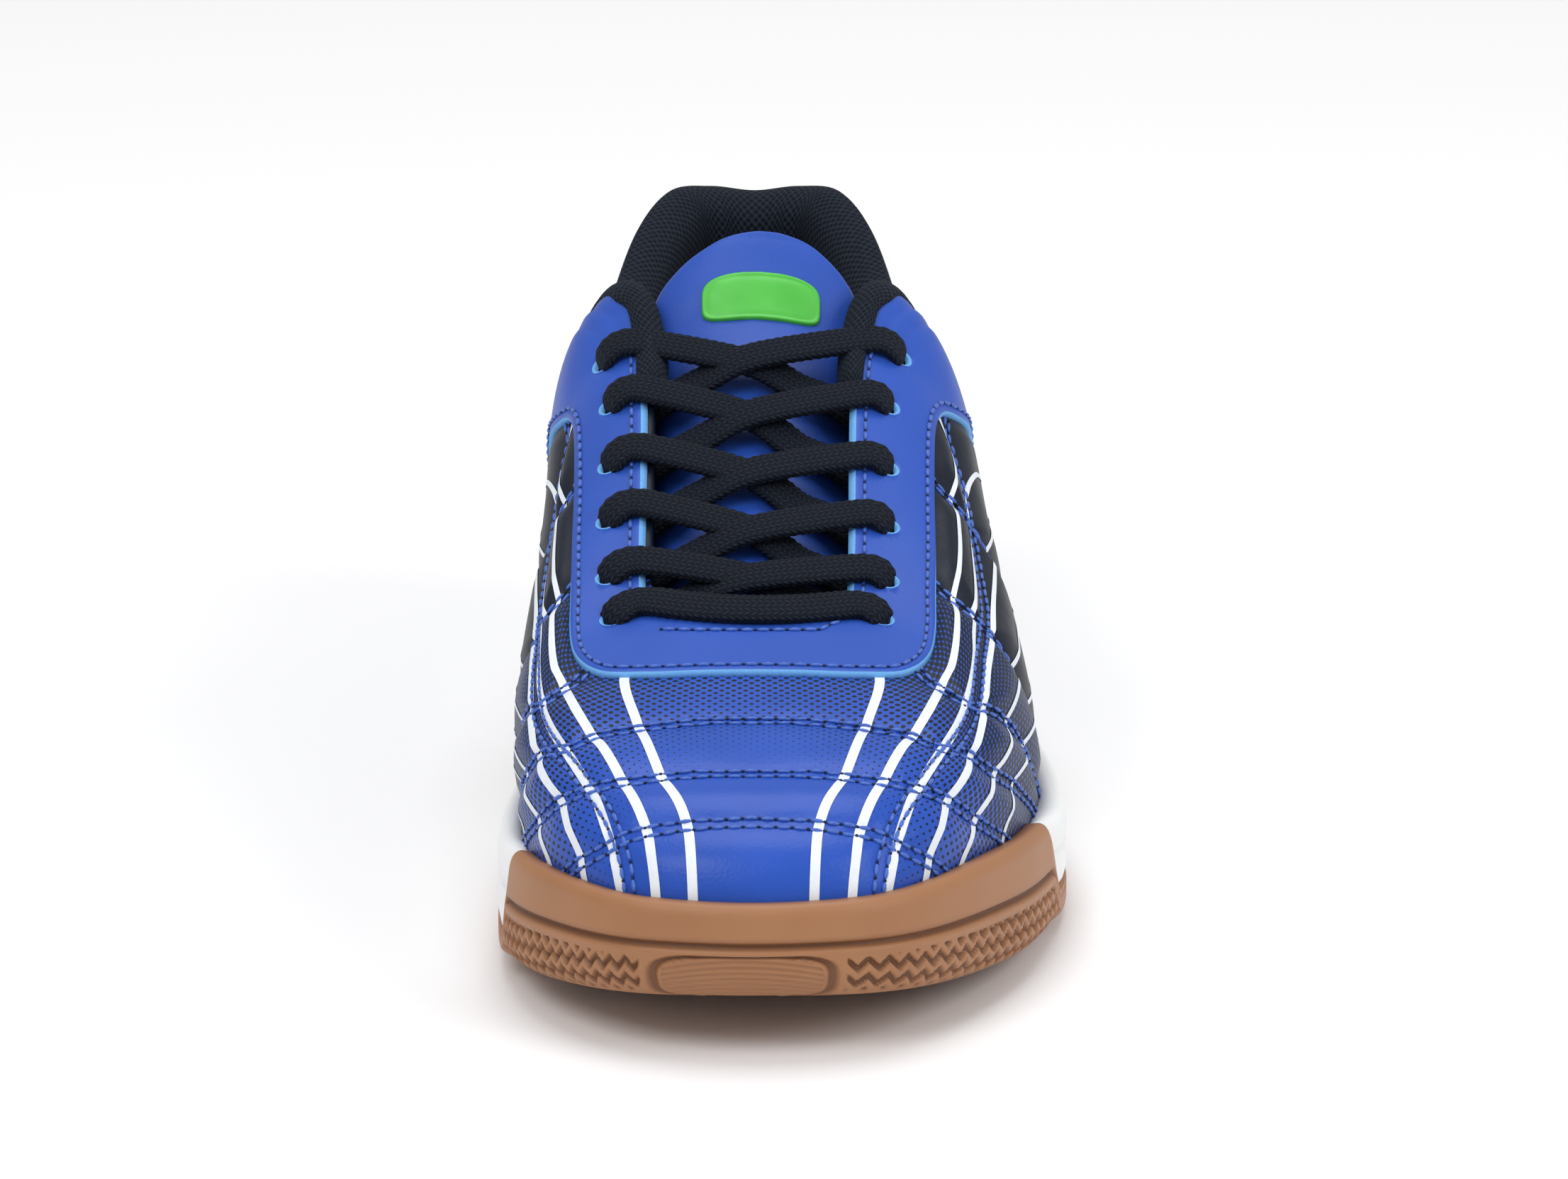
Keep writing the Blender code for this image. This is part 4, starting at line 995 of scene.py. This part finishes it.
# Lace: a flat woven cord through the eyelets
lace = {
    "width": 7.2, "thickness": 2.1, "holeWidth": 5.2, "holeThickness": 2.3, "sides": 24, "corner": 0.6,
    "routeSamples": 40, "step": 0.42, "easing": 2.4, "easingTurns": 2, "loopPitch": 1.7, "loopSwing": 0.14,
    "under": ((-2.0, -4.4), (-5.5, -4.6)),  # from the eyelet, lift below the eyestay
    "rise": ((17.0, 3.2, -2.8), (13.0, 4.4, -0.4), (8.5, 5.8, 1.4)),  # side, ahead, above the row in front
    "underSink": 1.05,  # how much deeper the strand underneath rises
    "crossing": {1: (0.0, 2.4), -1: (2.0, 1.2)},  # ahead, above the edges' middle: rising outwards, inwards
    "stay": (2.6, 2.5),  # distance, lift on the eyestay
    "dive": ((-3.2, 2.5), (-0.6, 2.1), (0.3, 0.1), (-0.3, -2.8)),  # from the eyelet, lift
    "diveWide": 2,  # stops before the cord narrows for the eyelet
    "barMiddle": (1.0, 2.7), "barShares": (0.25, 0.5, 0.75), "instep": (0.0, -0.41, 0.91),
    "ply": 1.25, "plyShare": 0.45, "wale": 1.1, "depth": 0.3, "strength": 0.9,
    # tones of the cord: painted shade between the plies and painted light on their crowns
    "hollowShade": "#080C14", "ridgeLight": "#1E2838",
}
fullLace, holeLace = (lace["width"], lace["thickness"]), (lace["holeWidth"], lace["holeThickness"])


def wovenLace():
    # braided polyester: wales of small slanted plies, matt with dull high spots
    material, tree, shader = startMaterial("braidedPolyester", {
        "Roughness": 0.75, "Specular IOR Level": 0.12, "Sheen Weight": 0.02,
    })
    surface = addNode(tree, "ShaderNodeUVMap", {"uv_map": "surface"})
    along, across = addNode(tree, "ShaderNodeSeparateXYZ", None, {"Vector": surface}).outputs[:2]
    wale = addNode(tree, "ShaderNodeMath", {"operation": "PINGPONG", 1: lace["wale"] * mm}, {0: across})
    slant = addNode(tree, "ShaderNodeMath", {"operation": "ADD"}, {0: along, 1: wale})
    waves = []
    for source, halfWave in ((slant, lace["ply"] / 2.0), (wale, lace["wale"])):
        turn = addNode(tree, "ShaderNodeMath", {"operation": "MULTIPLY", 1: math.pi / (halfWave * mm)},
                       {0: source})
        waves.append(addNode(tree, "ShaderNodeMath", {"operation": "SINE"}, {0: turn}))
    ply = addNode(tree, "ShaderNodeMath", {"operation": "MULTIPLY_ADD", 1: lace["plyShare"], 2: 0.5},
                  {0: waves[0]})
    relief = addNode(tree, "ShaderNodeMath", {"operation": "MULTIPLY"}, {0: ply, 1: waves[1]})
    # painted shade in the low plies and painted light on the high ones
    shadeByRelief(tree, shader, lace, relief)
    return material


def onStay(ring, distance, lift, size=fullLace):  # a stop of the cord: its place, width and thickness
    return (*skin([ring], [distance], lift)[0, 0], *size)


def intoEyelet(row, side):  # over the eyestay, down through the eyelet and back underneath
    ring, eyelet = eyeletAt(row, side)
    stops = [onStay(ring, *lace["stay"])]
    for index, (back, lift) in enumerate(lace["dive"]):
        stops.append(onStay(ring, eyelet + back, lift, fullLace if index < lace["diveWide"] else holeLace))
    back, lift = lace["under"][0]
    return stops + [onStay(ring, eyelet + back, lift)]


def strandRoute(row, side):  # from under the row in front, over the tongue and into its own row
    frontRing, eyelet = eyeletAt(row - 1, -side)
    front, near = (ringAt(ring)[3:6] for ring in (frontRing, eyeletAt(row, side)[0]))
    route = [onStay(frontRing, eyelet + back, lift) for back, lift in lace["under"]]
    for across, ahead, above in lace["rise"]:
        sink = lace["underSink"] if side < 0 and above > 0.0 else 0.0  # the strand rising outwards is on top
        route.append((axisX - side * across, front[1] + ahead, front[2] + above - sink, *fullLace))
    middle, (ahead, above) = (near + front) / 2.0, lace["crossing"][side]
    route.append((axisX, middle[1] + ahead, middle[2] + above, *fullLace))
    return route + intoEyelet(row, side)


def barRoute():
    ends = [intoEyelet(0, side) for side in (-1, 1)]
    medial, lateral = (np.array(end[0][:3]) for end in ends)
    bow = np.array(onStay(0.0, *lace["barMiddle"])[:3]) - (medial + lateral) / 2.0
    between = []
    for share in lace["barShares"]:
        place = medial + (lateral - medial) * share
        place[1:] += bow[1:] * (1.0 - (2.0 * share - 1.0) ** 2)
        between.append((*place, *fullLace))
    return ends[0][::-1] + between + ends[1]


def eased(rows):  # a line of even steps with its bends rounded off, averaged over a reach by turns
    count = max(int(round(lace["easing"] / lace["step"])), 1)
    window = np.ones(2 * count + 1) / (2 * count + 1)
    for turn in range(lace["easingTurns"]):
        before = 2.0 * rows[0] - rows[count:0:-1]
        after = 2.0 * rows[-1] - rows[-2:-count - 2:-1]
        padded = np.concatenate([before, rows, after])
        rows = np.stack([np.convolve(column, window, "valid") for column in padded.T], axis=1)
    return rows


def addCord(bm, route):
    rows = eased(evenly(smoothRows(route, lace["routeSamples"] * len(route)), lace["step"]))
    path, width, thickness = rows[:, :3], rows[:, 3:4], rows[:, 4:5]
    tangent = np.gradient(path, axis=0)
    tangent /= np.linalg.norm(tangent, axis=1, keepdims=True)
    highest = int(np.argmin(np.abs(path[:, 0] - axisX)))
    ups = np.empty_like(path)
    for order in (range(highest, len(path)), range(highest, -1, -1)):  # carried along without twisting
        up = np.array(lace["instep"])
        for index in order:
            up = up - tangent[index] * (up @ tangent[index])
            up = up / np.linalg.norm(up)
            ups[index] = up
    sides = np.cross(tangent, ups)
    wide, deep = boxRound(lace["sides"], lace["corner"], lace["corner"])
    along = runLength(path)
    loops = lace["loopSwing"] * np.sin(2.0 * np.pi * along / lace["loopPitch"])[:, None]  # of the woven edge
    points = path[:, None] + sides[:, None] * (wide * (width / 2.0 + loops))[..., None]
    points = points + ups[:, None] * (deep * thickness / 2.0)[..., None]
    points[:, -1] = points[:, 0]
    addGrid(bm, points, clothGrid(along, runLength(points[len(path) // 2])))


def makeLace():
    bm = bmesh.new()
    addCord(bm, barRoute())
    for row in range(1, len(overlay["eyelets"])):
        for side in (-1, 1):
            addCord(bm, strandRoute(row, side))
    closeMesh(bm)
    nodes = [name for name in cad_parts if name.startswith("lace_")]
    addPiece("shoeLace", bm, [wovenLace()], nodes)


makeLace()

# Gum outsole: a plate under the foot and a grooved bumper round the toe
outsole = {
    "plate": (  # y, thickness
        (-146.0, 4.5), (-100.0, 5.0), (-78.0, 8.0), (-48.0, 8.0), (-5.0, 4.5), (146.0, 4.5),
    ),
    "endMedial": 4.7, "endLateral": 5.75, "endFade": 0.2, "grooveShare": 0.575,
    "fullHeight": 14.0, "leastScale": 0.3, "fineStep": 1.0 / 48.0, "fineUntil": 6.5, "coarseStep": 1.0 / 24.0,
    "across": (46, 4),  # columns of the fill below and above
    "bottomEdge": ((7.5, 0.0), (5.6, 0.15), (3.9, 0.55), (2.4, 1.3), (1.2, 2.4), (0.5, 3.6), (0.12, 4.6)),
    "edgeRows": 18, "wallRows": 12, "wallFoot": 4.8, "wallTop": 1.9,
    "groove": ((-0.15, -1.6), (-0.15, -1.2), (0.05, -0.85), (0.6, -0.5), (1.15, -0.15), (1.2, 0.1),
               (0.8, 0.45), (0.35, 0.8), (0.2, 1.3)),
    "bandRows": 7, "bandFrom": 0.1, "bandTop": 2.4, "bandLean": 0.7,
    "topEdge": ((1.0, -2.0), (1.3, -1.2), (1.8, -0.5), (2.4, -0.12), (3.0, 0.0)),
    "inside": ((4.0, 0.3), (4.6, 0.4), (5.0, 0.6), (7.0, 0.6)), "insideFrom": 0.85,  # inset, drop
    "flex": (-104.0, -88.0, -72.0, -56.0, -40.0, -24.0, 76.0, 90.0, 104.0),
    "flexWidth": 4.0, "flexFlank": 0.6, "flexDepth": 2.2,
    "zigRidge": 0.24, "zigFlank": 0.1,  # shares of a row
    "zigRow": 3.2, "zigMedial": 3.4, "zigLateral": 4.4, "zigSwing": 0.95, "zigDepth": 0.9,
    "zigFrom": 19.0, "zigFoot": 0.4, "zigTop": 2.4, "zigFades": (1.2, 0.8, 0.5),
    "treadRow": 7.0, "treadPeriod": 14.0, "treadSwing": 3.0, "treadDepth": 0.8, "treadMargin": 0.05,
    "waist": (30.0, 28.0, 8.0),  # y of its middle, half length, fade
    "panelMiddle": (-1.6, 3.4), "panelHalf": (16.8, 4.7), "panelGroove": 0.1, "panelDepth": 1.0,
    "ribPitch": 1.1, "ribDepth": 0.32, "ribBow": 2.0, "ribReach": 0.9,
    "shades": {"wall": (1.1, 0.75), "groove": (1.3, 0.85), "tread": (1.5, 0.8)},  # full depth, darkest
}
gumLook = {
    "tones": ("#A97750", "#986640"), "grooveShade": "#5A3014", "cloudSize": 18.0, "cloudDetail": 4.0,
    "grain": "ShaderNodeTexNoise", "grainSize": 0.6, "grainDepth": 0.03,
}
# pressed natural rubber: warm, waxy, half matt, with painted shade darkening the grooves the mould left
gum = cloudedMaterial("gumRubber", {
    "Roughness": 0.52, "IOR": 1.52, "Subsurface Weight": 0.08, "Subsurface Scale": 0.002,
}, gumLook)


def zigzag(along, across, row, period, swing):  # 1 in the grooves of a zigzag relief, 0 on its ridges
    tooth = np.abs((along / period) % 1.0 - 0.5) * 4.0 - 1.0
    place = ((across - swing * tooth) / row) % 1.0
    return smoothStep((np.abs(place - 0.5) - outsole["zigRidge"]) / outsole["zigFlank"])


def shade(depth, name):  # how much painted shade a pressed place gets, darker where deeper
    full, darkest = outsole["shades"][name]
    return np.clip(depth / full, 0.0, darkest)


def soleRing(fine, coarse):  # once round the sole, in finer steps about the toe
    until = outsole["fineUntil"]
    half = [*np.arange(0.0, until - fine / 2.0, fine), *np.arange(until, heelRing + coarse / 2.0, coarse)]
    half[-1] = float(heelRing)
    return np.array(half + [ringSize - place for place in reversed(half[1:-1])])


def soleLines(ring):
    value = ringAt(ring)
    tread = treadHeight(value[:, 1])
    top = tread + np.interp(value[:, 1], *zip(*outsole["plate"]))
    end = np.where(ring <= heelRing, outsole["endMedial"], outsole["endLateral"])
    wrap = smoothStep((end + outsole["endFade"] - fold(ring)) / (2.0 * outsole["endFade"]))
    return tread, top, value[:, 2], wrap


def addTray(bm, ring, profile, across, level=None, fillRelief=None):  # loops, filled at both ends
    loops = np.stack([solePoint(ring, inset, height) for inset, height in profile])
    closed = [*range(len(ring)), 0]
    addGrid(bm, loops[:, closed], level=None if level is None else level[:, closed])
    half = len(ring) // 2
    for loop, relief, columns in zip(loops[[0, -1]], (fillRelief, None), across):
        share = np.linspace(0.0, 1.0, columns + 1)[None, :, None]
        left, right = loop[:half + 1], loop[-np.arange(half + 1) % len(ring)]
        fill = left[:, None] * (1.0 - share) + right[:, None] * share
        # painted shade in the tread's cuts, darker where they are deeper
        grooveShade = None
        if relief:
            depth = relief(fill[..., 0], fill[..., 1], share[..., 0])
            fill[..., 2] += depth
            grooveShade = shade(depth, "tread")
        addGrid(bm, fill, level=grooveShade)
    closeMesh(bm)


def treadRelief(x, y, share):
    inside = smoothStep(np.minimum(share, 1.0 - share) / outsole["treadMargin"])
    reach, flank = outsole["flexWidth"] / 2.0, outsole["flexFlank"]
    cuts = [smoothStep((reach - np.abs(y - place)) / flank + 0.5) for place in outsole["flex"]]
    tooth = zigzag(x, y, outsole["treadRow"], outsole["treadPeriod"], outsole["treadSwing"])
    middle, half, fade = outsole["waist"]
    tooth = tooth * smoothStep((np.abs(y - middle) - half) / fade)  # the waist stays plain
    flex = np.max(cuts, axis=0) * outsole["flexDepth"]
    return np.maximum(flex, tooth * outsole["treadDepth"]) * inside


def wallRelief(along, above, grooveHeight, wrap):  # zigzag panels at both sides of a ribbed toe panel
    middle, half = outsole["panelMiddle"], outsole["panelHalf"]
    side = (along - middle[0]) / half[0]
    rise = (above - middle[1]) / half[1]
    oval = (side ** 4 + rise ** 4) ** 0.25
    border = smoothStep(1.0 - np.abs(oval - 1.0) / outsole["panelGroove"]) * outsole["panelDepth"]
    bow = above + outsole["ribBow"] * side ** 2
    ribs = (0.5 - 0.5 * np.cos(2.0 * np.pi * bow / outsole["ribPitch"])) * outsole["ribDepth"]
    period = np.where(along < 0.0, outsole["zigMedial"], outsole["zigLateral"])
    zig = zigzag(along, above, outsole["zigRow"], period, outsole["zigSwing"]) * outsole["zigDepth"]
    starts = (np.abs(along - middle[0]) - outsole["zigFrom"], above - outsole["zigFoot"],
              grooveHeight - outsole["zigTop"] - above)
    for start, fade in zip(starts, outsole["zigFades"]):
        zig = zig * smoothStep(start / fade)
    return (border + ribs * (oval < outsole["ribReach"]) + zig) * wrap


def makeOutsole():
    ring = soleRing(outsole["fineStep"], outsole["coarseStep"])
    tread, plate, rim, wrap = soleLines(ring)
    top = plate + (rim - plate) * wrap
    groove = tread + outsole["grooveShare"] * (top - tread)
    scale = np.clip((top - tread) / outsole["fullHeight"], outsole["leastScale"], 1.0)
    profile = [(inset, treadHeight(solePoint(ring, inset, 0.0)[:, 1]) + lift * scale)
               for inset, lift in smoothRows(outsole["bottomEdge"], outsole["edgeRows"])]
    foot, head = tread + outsole["wallFoot"] * scale, groove - outsole["wallTop"] * scale
    profile += [(0.0, foot + share * (head - foot)) for share in np.linspace(0.0, 1.0, outsole["wallRows"])]
    walled = len(profile)
    profile += [(inset * wrap, groove + lift * scale) for inset, lift in outsole["groove"]]
    bandInset, bandLift = outsole["groove"][-1]
    base, ceiling = groove + bandLift * scale, top - outsole["bandTop"] * scale
    for share in np.linspace(outsole["bandFrom"], 1.0, outsole["bandRows"]):
        profile.append((bandInset + outsole["bandLean"] * share * wrap, base + share * (ceiling - base)))
    profile += [(inset, top + lift * scale) for inset, lift in outsole["topEdge"]]
    # inside the bumper the wall follows the upper, and behind it the plate is flat
    (lip, lipDrop), (back, backDrop), (corner, cornerDrop), (seat, seatDrop) = outsole["inside"]
    full = smoothStep((wrap - outsole["insideFrom"]) / (1.0 - outsole["insideFrom"]))
    halfSeat = form["seatDepth"] / 2.0
    nearTop, nearLow = (upperInset(ring, rim - drop) for drop in (lipDrop, halfSeat))
    profile += [
        (lip + (nearTop - lip) * full, top - lipDrop),
        (back + (nearLow - back) * full, top - backDrop - (rim - top - backDrop + halfSeat) * full),
        (corner, np.where(full > 0.5, plate, top - cornerDrop)),
        (seat, plate - seatDrop),
    ]
    run = runLength(ringAt(np.append(ring, ringSize))[:, :2])
    along = np.where(ring <= heelRing, -run[:-1], run[-1] - run[:-1])
    # painted shade: darker where the wall's relief is cut deeper and further into the groove
    level = np.zeros((len(profile), len(ring)))
    for index, (inset, height) in enumerate(profile[:walled]):
        depth = wallRelief(along, height - tread, groove - tread, wrap)
        profile[index] = (inset + depth, height)
        level[index] = shade(depth, "wall")
    for index, row in enumerate(outsole["groove"], walled):
        level[index] = shade(row[0], "groove") * wrap
    bm = bmesh.new()
    addTray(bm, ring, profile, outsole["across"], level, treadRelief)
    addPiece("gumOutsole", bm, [gum], ["outsole"])


makeOutsole()

# Foam midsole
midsole = {
    "ringStep": 0.1, "across": (20, 20), "gap": 0.1, "tuck": 3.3, "tuckShare": 0.4, "wrapDrop": 1.0,
    "footInset": 5.5, "rimReach": 0.3, "rimDrop": 0.15, "wallInset": 4.9, "seatInset": 7.0,
    "side": (  # inset, share of height
        (0.9, 0.0), (0.25, 0.04), (0.0, 0.12), (-0.1, 0.24), (0.0, 0.36), (0.25, 0.46), (0.7, 0.5),
        (0.25, 0.54), (0.05, 0.64), (0.1, 0.76), (0.4, 0.87), (1.0, 0.95), (1.6, 0.985), (2.3, 1.0),
    ),
    "tones": ("#E9EBEC", "#F4F5F5"), "cloudSize": 25.0, "cloudDetail": 3.0,
    "grain": "ShaderNodeTexVoronoi", "grainSize": 0.9, "grainDepth": 0.04,
}
# moulded foam with a closed skin: chalky white, soft edges, a faint pebble
foam = cloudedMaterial("mouldedFoam", {
    "Roughness": 0.6, "Subsurface Weight": 0.1, "Subsurface Scale": 0.003,
}, midsole)


def makeMidsole():
    ring = soleRing(midsole["ringStep"], midsole["ringStep"])
    plate, rim, wrap = soleLines(ring)[1:]
    low, seat = plate + midsole["gap"], rim - form["seatDepth"]
    rim = rim - midsole["wrapDrop"] * wrap
    middle = (rim + seat) / 2.0
    profile = [(midsole["footInset"], low)]
    for inset, share in midsole["side"]:
        tuck = midsole["tuck"] - midsole["tuckShare"] * inset
        profile.append((inset + tuck * wrap, low + share * (rim - low)))
    profile += [
        (upperInset(ring, rim - midsole["rimReach"]), rim - midsole["rimDrop"]),
        (upperInset(ring, middle), middle), (midsole["wallInset"], seat), (midsole["seatInset"], seat),
    ]
    bm = bmesh.new()
    addTray(bm, ring, profile, midsole["across"])
    addPiece("foamMidsole", bm, [foam], ["midsole"])


makeMidsole()

# Footbed inside
footbed = {
    "lift": 0.3, "inset": 7.15, "ringStep": 0.125, "across": (4, 40),
    "edge": ((1.0, 0.0), (0.0, 0.5), (0.0, 3.2), (0.4, 3.8), (1.2, 4.0)),  # inset, height
    # tones of the weave: painted shade on its low threads and painted light on its high ones
    "thread": 0.9, "depth": 0.15, "strength": 0.6, "hollowShade": "#1B222C", "ridgeLight": "#27303C",
}


def footbedCloth():
    # brushed polyester cloth bonded to foam: fine crossed threads, no gloss
    material, tree, shader = startMaterial("brushedCloth", {"Roughness": 0.92, "Sheen Weight": 0.2})
    place = addNode(tree, "ShaderNodeTexCoord").outputs["Object"]
    weave = addNode(tree, "ShaderNodeTexChecker", {"Scale": 1.0 / (footbed["thread"] * mm)},
                    {"Vector": place})
    # painted shade on the low threads, painted light on the high ones
    shadeByRelief(tree, shader, footbed, weave.outputs["Fac"])
    return material


def makeFootbed():
    ring = soleRing(footbed["ringStep"], footbed["ringStep"])
    base = ringAt(ring)[:, 2] - form["seatDepth"] + footbed["lift"]
    profile = [(footbed["inset"] + inset, base + lift) for inset, lift in footbed["edge"]]
    bm = bmesh.new()
    addTray(bm, ring, profile, footbed["across"])
    addPiece("clothFootbed", bm, [footbedCloth()], ["insole"])


makeFootbed()
